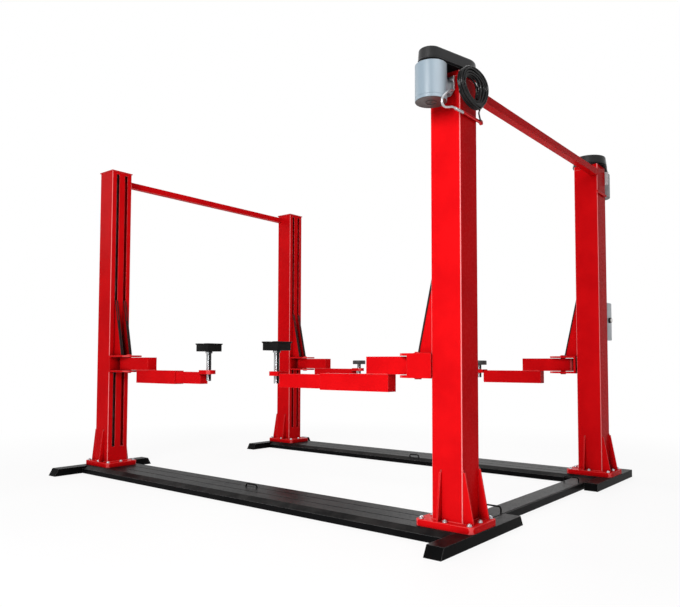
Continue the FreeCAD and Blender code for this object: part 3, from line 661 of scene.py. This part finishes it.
# the columns' red: the same lacquer with a brighter, wider painted highlight on their round corners
COLUMN_RED = red_lacquer("red_column_lacquer", (1.0, 0.38, 0.38), 0.75)
BLACK = black_lacquer(
    "black_lacquer", (0.0036, 0.0036, 0.004), (0.0056, 0.0056, 0.006), 0.34, gloss=0.019, dust=0.05)
FOOT_BLACK = black_lacquer(
    "foot_black", (0.003, 0.003, 0.0032), (0.0048, 0.0048, 0.005), 0.3, gloss=0.013, dust=0.03)
CHARCOAL = finish(
    "charcoal_plastic", grey(0.013), (0.02, 0.02, 0.021), 0.3, 0.14, gloss=0.2, wear=0.1,
    worn=grey(0.08), dust=0.05, peel=0.12, peel_scale=700.0, radius=0.002)
# its band is a painted highlight down the motor's right-hand side
BLUE_GREY = finish(
    "blue_grey_paint", (0.205, 0.26, 0.306), (0.192, 0.246, 0.29), 0.34, 0.12, gloss=0.35, wear=0.2,
    worn=(0.6, 0.64, 0.67), dust=0.06, radius=0.002, painted_band=(-4.0, 0.5, (0.4, 0.47, 0.53)))
# plain grey copy painted for the rear motor and the rear plate as they look in shade
PAINTED_SHADE_GREY = finish(
    "painted_shade_grey_paint", (0.46, 0.47, 0.48), (0.42, 0.43, 0.44), 0.34, 0.12, gloss=0.1, wear=0.2,
    worn=(0.4, 0.41, 0.42), dust=0.06, radius=0.002)
CAP_BROWN = finish(
    "brown_black_cap", (0.05, 0.043, 0.04), (0.075, 0.065, 0.06), 0.35, 0.14, wear=0.15,
    worn=(0.18, 0.17, 0.16), dust=0.1, radius=0.0015, gloss=0.2)
ZINC = finish(
    "zinc_plate", (0.6, 0.61, 0.63), (0.48, 0.49, 0.51), 0.28, 0.2, metallic=0.9, worn=grey(0.8),
    dust=0.12, cloud=22.0, radius=0.0015, scratches=0.8)
# its band is a painted reflection on one side of the stems
DARK_CHROME = finish(
    "dark_chrome", (0.022, 0.022, 0.024), (0.04, 0.04, 0.043), 0.2, 0.15, metallic=1.0, dust=0.05,
    cloud=30.0, radius=0.001, scratches=0.8, painted_band=(-72.0, 0.8, (0.5, 0.52, 0.53)))
OILY_STEEL = finish(
    "oily_steel", (0.16, 0.15, 0.14), (0.07, 0.065, 0.06), 0.28, 0.2, metallic=0.9, dust=0.1,
    cloud=14.0, radius=0.001)
SADDLE_BLACK = finish(
    "saddle_black", grey(0.005), grey(0.009), 0.34, 0.15, worn=grey(0.12), dust=0.05, radius=0.002,
    gloss=0.05)
RUBBER = finish(
    "black_rubber", (0.016, 0.014, 0.014), (0.026, 0.022, 0.022), 0.5, 0.15, wear=0.2,
    worn=(0.07, 0.065, 0.06), dust=0.2, peel=0.2, peel_scale=500.0, radius=0.0015)
GUARD_RUBBER = finish(
    "guard_rubber", (0.022, 0.012, 0.011), (0.034, 0.017, 0.016), 0.42, 0.15, wear=0.2,
    worn=(0.09, 0.05, 0.05), dust=0.06, peel=0.2, peel_scale=400.0, radius=0.0015, gloss=0.1)
LEAD_RUBBER = finish(
    "lead_rubber", grey(0.003), grey(0.006), 0.2, 0.1, wear=0.0, dust=0.02,
    peel=0.1, peel_scale=500.0, radius=0.0005, gloss=0.24)
GREY_PLASTIC = finish(
    "grey_plastic", (0.52, 0.57, 0.61), (0.46, 0.51, 0.55), 0.35, 0.12, wear=0.15,
    worn=(0.55, 0.57, 0.58), dust=0.12, peel=0.1, peel_scale=600.0, radius=0.002)
WHITE_PLASTIC = finish(
    "white_plastic", (0.8, 0.8, 0.78), (0.72, 0.72, 0.7), 0.35, 0.1, wear=0.1,
    worn=(0.6, 0.6, 0.58), dust=0.08, radius=0.001)

lead.data.materials.append(LEAD_RUBBER)

# finish of a node by the start of its name, the first that fits; all others are red
NODE_FINISHES = (
    ("column_", COLUMN_RED), ("foot_", FOOT_BLACK), ("lift_screw_", OILY_STEEL), ("pad_", SADDLE_BLACK),
    ("base_cover_", BLACK), ("belt_cover_", CHARCOAL), ("motor_bracket_", ZINC), ("motor_", BLUE_GREY),
    ("link_cover", BLACK), ("cover_handles", BLACK), ("control_box", GREY_PLASTIC),
    ("cable_", LEAD_RUBBER))

for node_name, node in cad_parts.items():
    chosen = next((coat for start, coat in NODE_FINISHES if node_name.startswith(start)), RED)
    node.data.materials.clear()
    node.data.materials.append(chosen)


# the drive, measured from the axis and the top of its column: both belt wheels and the motor
WHEEL_PLACE = np.array((0.003, -0.248))
COLUMN_END = 0.1285     # radius of the cover's end over the column
MOTOR_END = 0.0665      # and of its end over the motor
MOTOR_PLACE = (0.005, -0.247, 0.0)
MOTOR_LOW = -0.1796
MOTOR_HIGH = 0.0215
MOTOR_HALF = 0.085
COVER_FOOT = 0.0375
HEAD_TALL = 0.03
TRAY_LOW = 0.0285
TRAY_TALL = 0.0095
# rows of inset and height over the cover's foot: lip, groove and leaning side, then the sunk top
COVER_SIDE = (
    (0.0035, 0.0), (0.0, 0.0012), (0.0, 0.0065), (0.0005, 0.0076), (0.003, 0.008), (0.0034, 0.0092),
    (0.002, 0.01), (0.0048, 0.0575))
COVER_SUNK = ((0.025, 0.0675), (0.0265, 0.067), (0.028, 0.0655), (0.05, 0.0653))
# the same over the motor's foot: foot and groove of its shell, and its cap
MOTOR_FOOT = (
    (0.002, 0.002), (0.0, 0.0035), (0.0, 0.02), (0.0012, 0.0205), (0.0012, 0.0215), (0.0, 0.022))
MOTOR_CAP = (
    (0.079, -0.002), (0.077, -0.002), (0.0765, 0.001), (0.057, 0.001), (0.0562, -0.0026),
    (0.053, -0.0026), (0.0522, 0.0004), (0.006, 0.0004), (0.004, 0.0), (0.002, 0.0),
    (0.0006, 0.0006), (0.0, 0.0018), (0.0, 0.006), (0.001, 0.007))
# the motor's plate on the column's front face, its folded lip, slanting rim and bolts
MOUNT_THICK = 0.005
MOUNT_PLATE = ((-0.12, -0.108), (0.037, -0.108), (0.067, -0.078), (0.067, 0.0), (-0.12, 0.0))
MOUNT_LIP = ((0.06, -0.078), (0.067, -0.078), (0.067, -0.002), (0.06, -0.002))
MOUNT_RIM = ((0.034, -0.108), (0.041, -0.104), (0.067, -0.078), (0.06, -0.074))
MOUNT_BOLTS = ((-0.09, -0.02), (-0.09, -0.09), (0.047, -0.016), (0.04, -0.084))
# width across the flats, height of the head and radius of the washer
MOUNT_BOLT = (0.014, 0.006, 0.009)
FLOOR_BOLT = (0.022, 0.008, 0.0145)
PIVOT_BOLT = (0.036, 0.006, 0.026)
WASHER_THICK = 0.003
# radius at the root and at the crest, and pitch
STUD = (0.0056, 0.0066, 0.002)
STEM = (0.0179, 0.019, 0.004)
SCREW = (0.0215, 0.025, 0.01)
# gussets: two tall ones on a column's outer face, one low one on each side face
GUSSET_THICK = 0.01
TALL_GUSSET = ((0.094, 0.0), (0.1545, 0.0), (0.1545, 0.012), (0.106, 0.268), (0.094, 0.268))
SIDE_GUSSET = ((0.095, 0.0), (0.139, 0.0), (0.139, 0.012), (0.107, 0.26), (0.095, 0.26))
TALL_SHIFTS = (-0.085, 0.085)
SIDE_SHIFT = 0.036
RIB_SHIFTS = (-0.04, 0.04)
# place along and across, foot, width and height of each handle
HANDLES = (
    (0.033, -1.068, 0.058, 0.108, 0.028), (0.082, 0.948, 0.058, 0.097, 0.028),
    (1.68, -0.651, 0.05, 0.11, 0.044), (1.68, 0.632, 0.05, 0.11, 0.044))
BENT_ROD = (
    (1.745, -1.206, 2.424), (1.768, -1.262, 2.402), (1.787, -1.325, 2.371), (1.793, -1.372, 2.341),
    (1.793, -1.399, 2.312), (1.793, -1.404, 2.294), (1.793, -1.398, 2.279), (1.793, -1.376, 2.271),
    (1.793, -1.336, 2.281), (1.793, -1.3, 2.294), (1.793, -1.262, 2.296), (1.793, -1.184, 2.298))
SADDLE_WIDE = 0.146
ROUND_PAD_EDGE = (
    (0.004, 0.066), (0.0012, 0.067), (0.0, 0.07), (0.0, 0.099), (0.0012, 0.1025), (0.0045, 0.105))
ROUND_PAD_GROOVE = ((0.0, 0.105), (0.001, 0.1032), (0.004, 0.1032), (0.005, 0.105))
# the turning switch: its place, and its ring in rows of inset and height
SWITCH_PLACE = (1.285, 1.29)
SWITCH_RING = (
    (0.001, -0.002), (0.0, 0.0), (0.0, 0.015), (0.0012, 0.017), (0.004, 0.0175), (0.006, 0.016),
    (0.0065, 0.0135), (0.015, 0.0135))


def wheel_outline(grow=0.0):
    """Outline round both belt wheels: an arc round each wheel, its ends where the tangents touch."""
    many, few = 73, 33
    apart = np.linalg.norm(WHEEL_PLACE)
    heading = math.atan2(WHEEL_PLACE[1], WHEEL_PLACE[0])
    lean = math.acos((COLUMN_END - MOTOR_END) / apart)
    large = np.linspace(heading + lean, heading - lean + 2 * math.pi, many)
    small = np.linspace(heading - lean, heading + lean, few)
    centres = np.concatenate((np.zeros((many, 2)), np.tile(WHEEL_PLACE, (few, 1))))
    radii = np.concatenate((np.full(many, COLUMN_END + grow), np.full(few, MOTOR_END + grow)))
    return centres, radii, np.concatenate((large, small))


def belt_cover(lift):
    """Moulded cover: lip at the foot, leaning side, round shoulder and a shallow sunk top."""
    insets, heights = profile(COVER_SIDE, quarter_arc(0.01, 0.005, 0.0575, 7), COVER_SUNK)
    top = moulded(wheel_outline(0.001), insets, heights + COVER_FOOT)
    piece("belt_cover_moulding_" + lift, at_drive([top], lift), CHARCOAL,
          ["belt_cover_" + lift])


def column_head(lift):
    """The top of a right column, closed by the tray of the belt cover."""
    head = softened(rounded_box(2 * COLUMN_HALF, 2 * COLUMN_DEEP, 0.009), HEAD_TALL, 0.0, 0.0015)
    piece("column_head_" + lift, at_drive([head], lift), COLUMN_RED)


def motor_bracket(lift):
    """Dark tray under the belt cover, and the bright folded plate and saddle that hold the motor."""
    replaced = ["motor_bracket_" + lift]
    tray = softened(wheel_outline(-0.004), TRAY_TALL, 0.001, 0.001, 3)
    tray = placed(tray, (0, 0, TRAY_LOW))
    piece("belt_tray_" + lift, at_drive([tray], lift), BLACK, replaced)
    flats = (cut_plate(MOUNT_PLATE, MOUNT_THICK), cut_plate(MOUNT_LIP, 0.016, 0.002),
             cut_plate(MOUNT_RIM, 0.01, 0.0015))
    parts = [placed(part, (0, -COLUMN_DEEP, 0), FACING_FRONT) for part in flats]
    saddle = softened(rounded_box(0.06, 0.078, 0.003), 0.07, 0.001, 0.001)
    parts.append(placed(saddle, (0.005, -0.136, -0.085)))
    for x, z in MOUNT_BOLTS:
        origin = (x, -COLUMN_DEEP - MOUNT_THICK, z)
        parts += [placed(part, origin, FACING_FRONT) for part in hex_head(*MOUNT_BOLT)]
    # the rear plate gets the grey painted shade copy instead of zinc
    metal = ZINC if lift == "front" else PAINTED_SHADE_GREY
    piece("motor_mount_" + lift, at_drive(parts, lift), metal, replaced)


def motor(lift):
    """Round shell with a soft upper rim, and a dark flat cap under it with a ring round its middle."""
    replaced = ["motor_" + lift]
    rim = 0.004
    high = MOTOR_HIGH - rim
    foot = np.array(MOTOR_FOOT) + (0.0, MOTOR_LOW)
    side = profile(foot, ((0.0, high),), quarter_arc(rim, 0.0, high, 5))
    body = placed(moulded(circle(MOTOR_HALF, 96), *side), MOTOR_PLACE)
    # the rear motor gets the grey painted shade copy
    paint = BLUE_GREY if lift == "front" else PAINTED_SHADE_GREY
    piece("motor_shell_" + lift, at_drive([body], lift), paint, replaced)
    insets, heights = profile(MOTOR_CAP)
    cap = placed(moulded(circle(0.0835, 96), insets, heights + MOTOR_LOW), MOTOR_PLACE)
    piece("motor_cap_" + lift, at_drive([cap], lift), CAP_BROWN, replaced)


def hex_head(flats, tall, washer):
    """A hexagon head with a bevelled top, on a round washer."""
    disc = softened(circle(washer, 32), WASHER_THICK, 0.0004, 0.0008, 3)
    head = softened(hexagon(flats), tall, 0.0002, 0.0011, 3)
    return [disc, placed(head, (0, 0, WASHER_THICK))]


def base_plate(corner):
    """Thick plate with round corners, the two tall gussets outside and one on each side face, and the
    weld beads round the column's foot and up from each gusset's top."""
    side = side_of(corner)
    x, y, _ = place_at(corner, COLUMN_X, 0.0)
    slab = softened(rounded_box(0.353, 0.29, 0.034, 9), PLATE_THICK, 0.001, 0.003)
    parts = [placed(slab, (x, y, PLATE_TOP - PLATE_THICK))]
    tall = cut_plate(TALL_GUSSET, GUSSET_THICK, 0.0025)
    for shift in TALL_SHIFTS:
        origin = (x, y + shift + side * GUSSET_THICK / 2, PLATE_TOP)
        parts.append(placed(tall, origin, ((side, 0, 0), (0, 0, 1), (0, -side, 0))))
    low = cut_plate(SIDE_GUSSET, GUSSET_THICK, 0.0025)
    for way in (-1, 1):
        origin = (x - side * SIDE_SHIFT - way * GUSSET_THICK / 2, y, PLATE_TOP)
        parts.append(placed(low, origin, ((0, way, 0), (0, 0, 1), (way, 0, 0))))
    piece("base_plate_welded_" + corner, parts, RED, ["base_plate_" + corner])
    half = COLUMN_HALF + 0.001
    foot = ((-half, -half), (half, -half), (half, half), (-half, half))
    foot = [(x + across, y + along, PLATE_TOP) for across, along in foot]
    runs = list(zip(foot, foot[1:] + foot[:1]))
    tops = [(x + side * 0.0945, y + shift, 0.262) for shift in TALL_SHIFTS]
    tops += [(x - side * SIDE_SHIFT, y + way * 0.0955, 0.254) for way in (-1, 1)]
    for along, across, high in tops:
        runs.append([(along, across, PLATE_TOP + end) for end in (high, high + 0.018)])
    piece("base_welds_" + corner, [bead(*run, 0.0045) for run in runs], RED)


def floor_bolts(corner):
    """Eight low bolts with short studs that hold a base plate down, at its corners and half way along
    its sides, each turned a little further."""
    parts = []
    places = [(x, y) for x in (-0.146, 0.0, 0.146) for y in (-0.118, 0.0, 0.118)]
    places.remove((0.0, 0.0))
    for index, (x, y) in enumerate(places):
        origin = (side_of(corner) * (COLUMN_X - x), row_of(corner) * COLUMN_Y + y, PLATE_TOP)
        parts += [placed(part, origin, turn=0.3 + 0.9 * index) for part in hex_head(*FLOOR_BOLT)]
        parts.append(placed(threaded_rod(*STUD, 0.009, 0.015, 16), origin))
    piece("floor_bolts_" + corner, parts, ZINC)


def pivot_bolts(corner):
    """Washer and hexagon on the upper and the lower end of an arm's pivot pin."""
    high = place_at(corner, PIVOT_X, CARRIAGE_LOW + CLEVIS_TALL)
    low = place_at(corner, PIVOT_X, CARRIAGE_LOW)
    parts = [placed(part, high, turn=0.2) for part in hex_head(*PIVOT_BOLT)]
    parts += [placed(part, low, FACING_DOWN, 0.5) for part in hex_head(*PIVOT_BOLT)]
    piece("pivot_bolts_" + corner, parts, RED, body="carriage_" + corner)


def rib_guards(corner):
    """Rubber strips of U section over the sloping edges of both ribs. The sizes are half the width,
    the legs, the back and the walls of the U, its cut corners and the gap to the edge."""
    side = side_of(corner)
    foot = np.array((COLUMN_HALF + 0.108, 0.146))
    head = np.array((COLUMN_HALF + 0.004, 0.613))
    half, leg, thick, wall, cut, gap = 0.0115, 0.006, 0.003, 0.0058, 0.002, 0.0002
    section = np.array((
        (-half, -leg), (-half, thick - cut), (-half + cut, thick), (half - cut, thick),
        (half, thick - cut), (half, -leg), (half - wall, -leg), (half - wall, gap),
        (wall - half, gap), (wall - half, -leg)))
    count = 12
    share = np.linspace(0.0, 1.0, count)[:, None]
    line = foot * (1 - share) + head * share
    parts = []
    for shift in RIB_SHIFTS:
        across = np.full(count, row_of(corner) * COLUMN_Y + shift)
        path = np.stack((side * (COLUMN_X - line[:, 0]), across, CARRIAGE_LOW + line[:, 1]), axis=1)
        parts.append(swept(path, section, (0.0, -side, 0.0)))
    piece("rib_guards_" + corner, parts, GUARD_RUBBER, body="carriage_" + corner)


def pad_place(corner):
    turn = arm_heading(corner)
    x, y, z = place_at(corner, PIVOT_X, CARRIAGE_LOW)
    return (x + PAD_REACH[corner] * math.cos(turn), y + PAD_REACH[corner] * math.sin(turn), z), turn


def square_pad(corner):
    """Square saddle: body, wider lip, and two bars with a groove between them, on a threaded stem."""
    origin, turn = pad_place(corner)
    node = "pad_" + corner
    body = softened(rounded_box(0.136, 0.136, 0.006), 0.05, 0.003, 0.0002)
    lip = softened(rounded_box(SADDLE_WIDE, SADDLE_WIDE, 0.008), 0.005, 0.0015, 0.0006)
    bar = softened(rounded_box(0.05, SADDLE_WIDE, 0.005), 0.0052, 0.0003, 0.002)
    parts = [placed(body, (0, 0, 0.165)), placed(lip, (0, 0, 0.215))]
    parts += [placed(bar, (shift, 0, 0.2198)) for shift in (-0.048, 0.048)]
    parts = [placed(part, origin, turn=turn) for part in parts]
    piece("saddle_" + corner, parts, SADDLE_BLACK, [node], node)
    stem = placed(threaded_rod(*STEM, -0.055, 0.166, 32, 6), origin)
    collar = softened(circle(0.026, 40), 0.014, 0.002, 0.001)
    collar = placed(collar, np.array(origin) + (0, 0, 0.151))
    piece("saddle_stem_" + corner, [stem, collar], DARK_CHROME, [node], node)


def round_pad(corner):
    """Low round pad with a rounded edge and three shallow rings in its top, on a threaded stem."""
    origin, _ = pad_place(corner)
    node = "pad_" + corner
    rings = [np.array(ROUND_PAD_GROOVE) + (start, 0.0) for start in (0.01, 0.022, 0.034)]
    disc = placed(moulded(circle(0.065, 72), *profile(ROUND_PAD_EDGE, *rings)), origin)
    piece("round_pad_" + corner, [disc], RUBBER, [node], node)
    stem = placed(threaded_rod(*STEM, -0.045, 0.067, 32, 6), origin)
    piece("round_pad_stem_" + corner, [stem], DARK_CHROME, [node], node)


def lift_screw(corner):
    """Long thread of the lifting screw inside a column."""
    high = (DRIVE_TOP if side_of(corner) > 0 else PLAIN_TOP) - 0.008
    screw = placed(threaded_rod(*SCREW, PLATE_TOP, high), place_at(corner, COLUMN_X, 0.0))
    piece("screw_thread_" + corner, [screw], OILY_STEEL, ["lift_screw_" + corner])


def cover_handles():
    """Round rods bent to handles: two legs on small discs, a bar and a soft bend between them."""
    parts = []
    disc = softened(circle(0.0085, 24), 0.003, 0.0004, 0.0012, 3)
    for x, y, low, wide, tall in HANDLES:
        left, right, top = x - wide / 2, x + wide / 2, low + tall - 0.005
        line = ((left, y, low), (left, y, top), (right, y, top), (right, y, low))
        parts.append(swept(bent_path(line, 0.018), ring_section(0.005), (0.0, 1.0, 0.0)))
        parts += [placed(disc, (leg, y, low)) for leg in (left, right)]
    piece("bent_handles", parts, BLACK, ["cover_handles"])


def bent_rod():
    """Bright rod hooked round the side of the front motor: from the motor's plate forwards and down,
    round a narrow bend, and back to the rod on the outer face of the column, where it is thicker."""
    route = np.array(BENT_ROD)
    level = (1.0, 0.0, 0.0)
    share = np.array((0.0, 0.02, 0.98, 1.0))[:, None]
    thick = route[-2] * (1 - share) + route[-1] * share
    parts = [swept(smooth_path(route), ring_section(0.0062), level),
             swept(thick, ring_section(0.0082), level)]
    piece("bent_rod_front", parts, ZINC)


def switch_box():
    """Box with soft corners and a lid, a groove between them, a round turning switch on its outer face
    and a gland below."""
    low, high = (np.array(corner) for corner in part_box("control_box"))
    deep, wide, tall = high - low
    middle = (low + high) / 2
    lid_tall = 0.0205
    case = softened(rounded_box(wide, tall, 0.01), deep - 0.022, 0.002, 0.0005)
    lid = softened(rounded_box(wide, tall, 0.01), lid_tall, 0.0008, 0.006)
    neck = softened(rounded_box(wide - 0.004, tall - 0.004, 0.009), 0.01, 0.0005, 0.0005)
    parts = (case, placed(lid, (0, 0, deep - lid_tall)), placed(neck, (0, 0, deep - 0.027)))
    place = (low[0], *middle[1:])
    piece("switch_box_case", [placed(part, place, FACING_RIGHT) for part in parts], GREY_PLASTIC,
          ["control_box"])
    face = (high[0],) + SWITCH_PLACE
    ring = moulded(circle(0.0225, 48), *profile(SWITCH_RING))
    piece("switch_ring", [placed(ring, face, FACING_RIGHT)], CHARCOAL)
    knob = softened(circle(0.0145, 40), 0.021, 0.0002, 0.0025)
    bar = softened(rounded_box(0.007, 0.026, 0.003), 0.028, 0.0005, 0.002)
    piece("switch_knob", [placed(part, face, FACING_RIGHT) for part in (knob, bar)], WHITE_PLASTIC)
    gland = (softened(circle(0.0125, 32), 0.012, 0.0003, 0.0015),
             softened(hexagon(0.024), 0.006, 0.0003, 0.001))
    parts = [placed(part, (*middle[:2], low[2]), FACING_DOWN) for part in gland]
    piece("cable_gland", parts, CHARCOAL)


def arm_welds(corner):
    """Beads where the upper box of an arm stands on the lower one."""
    origin = place_at(corner, PIVOT_X, CARRIAGE_LOW)
    near, far, half, level = 0.18, 0.331, 0.0425, 0.018
    runs = (((near, -half, level), (far, -half, level)), ((far, half, level), (near, half, level)),
            ((far, -half, level), (far, half, level)))
    parts = [placed(bead(*run, 0.004), origin, turn=arm_heading(corner)) for run in runs]
    piece("arm_welds_" + corner, parts, RED, body="arm_" + corner)


for lift in ("front", "rear"):
    belt_cover(lift)
    motor(lift)
    motor_bracket(lift)
    column_head(lift)
bent_rod()
for corner in CORNERS:
    for build in (base_plate, floor_bolts, pivot_bolts, rib_guards, lift_screw, arm_welds):
        build(corner)
    if corner.startswith("front"):
        square_pad(corner)
    else:
        round_pad(corner)
cover_handles()
switch_box()


# the floor and the light
FLOOR_REACH = 40.0
FLOOR_DROP = 0.0005
FLOOR_WHITE = 0.86      # share of plain white near the lift
WHITE_FROM = 2.6        # where that share starts to rise
WHITE_TO = 5.5          # and where all is white
SKY_LIGHT = 0.22


def floor():
    """Wide pale floor: its own shading keeps the shadow near the lift, and camera and mirror rays see
    most of it as plain white, all of it from some metres outwards."""
    count = 9
    line = np.linspace(-FLOOR_REACH, FLOOR_REACH, count)
    grid = np.stack(np.meshgrid(line, line), axis=-1)
    points = np.concatenate((grid, np.full((count, count, 1), -FLOOR_DROP)), axis=2).reshape(-1, 3)
    index = np.arange(count * count).reshape(count, count)
    quads = np.stack((index[:-1, :-1], index[:-1, 1:], index[1:, 1:], index[1:, :-1]), axis=-1)
    mesh = bpy.data.meshes.new("floor")
    mesh.from_pydata(points.tolist(), [], quads.reshape(-1, 4).tolist())
    material = bpy.data.materials.new("floor_white")
    material.use_nodes = True
    tree = material.node_tree
    shader = tree.nodes["Principled BSDF"]
    mottle = use_group(tree, MOTTLE, Scale=0.6)
    wire(tree, blended(tree, mottle["Cloud"], grey(0.86), grey(0.9)), shader.inputs["Base Color"])
    shader.inputs["Roughness"].default_value = 0.6
    glow = tree.nodes.new("ShaderNodeEmission")
    rays = tree.nodes.new("ShaderNodeLightPath")
    seen = maths(tree, "MAXIMUM", rays.outputs["Is Camera Ray"], rays.outputs["Is Glossy Ray"])
    mixed = tree.nodes.new("ShaderNodeMixShader")
    away = tree.nodes.new("ShaderNodeVectorMath")
    away.operation = "LENGTH"
    wire(tree, object_place(tree), away.inputs[0])
    outer = spread(tree, away.outputs["Value"], WHITE_FROM, WHITE_TO)
    share = maths(tree, "ADD", times(tree, outer, 1.0 - FLOOR_WHITE), FLOOR_WHITE)
    wire(tree, times(tree, seen, share), mixed.inputs[0])
    wire(tree, shader.outputs[0], mixed.inputs[1])
    wire(tree, glow.outputs[0], mixed.inputs[2])
    wire(tree, mixed.outputs[0], tree.nodes["Material Output"].inputs["Surface"])
    mesh.materials.append(material)
    thing = bpy.data.objects.new("floor", mesh)
    scene.collection.objects.link(thing)


def world_light():
    """White where the camera, reflections and glass look, a soft grey sky for the light itself."""
    world = bpy.data.worlds.new("world")
    world.use_nodes = True
    scene.world = world
    tree = world.node_tree
    back = tree.nodes["Background"]
    wire(tree, grey(1.0), back.inputs["Color"])
    rays = tree.nodes.new("ShaderNodeLightPath")
    seen = maths(tree, "MAXIMUM", rays.outputs["Is Camera Ray"], rays.outputs["Is Transmission Ray"])
    seen = maths(tree, "MAXIMUM", seen, rays.outputs["Is Glossy Ray"])
    rest = times(tree, maths(tree, "SUBTRACT", 1.0, seen), SKY_LIGHT)
    wire(tree, maths(tree, "ADD", seen, rest), back.inputs["Strength"])


def area_lamp(name, place, target, wide, tall, power, beam=180.0):
    """A rectangular lamp that looks from its place at a target, its beam in degrees."""
    data = bpy.data.lights.new(name, "AREA")
    data.spread = math.radians(beam)
    data.shape = "RECTANGLE"
    data.size = wide
    data.size_y = tall
    data.energy = power
    lamp = bpy.data.objects.new(name, data)
    lamp.location = place
    lamp.rotation_euler = (Vector(target) - Vector(place)).to_track_quat("-Z", "Y").to_euler()
    scene.collection.objects.link(lamp)


floor()
world_light()
area_lamp("key", (2.3, -6.0, 3.2), (1.9, 0.5, 1.1), 2.4, 2.0, 222.0, 150.0)
area_lamp("left_fill", (-6.0, -2.0, 4.0), (0.0, 0.0, 1.2), 4.0, 3.0, 90.0)
area_lamp("rear_fill", (-2.0, 7.0, 4.0), (0.0, 0.0, 1.2), 4.0, 3.0, 130.0)
area_lamp("top", (0.0, 0.5, 6.5), (0.0, 0.0, 0.0), 5.0, 4.0, 120.0)

scene.view_settings.view_transform = "Standard"
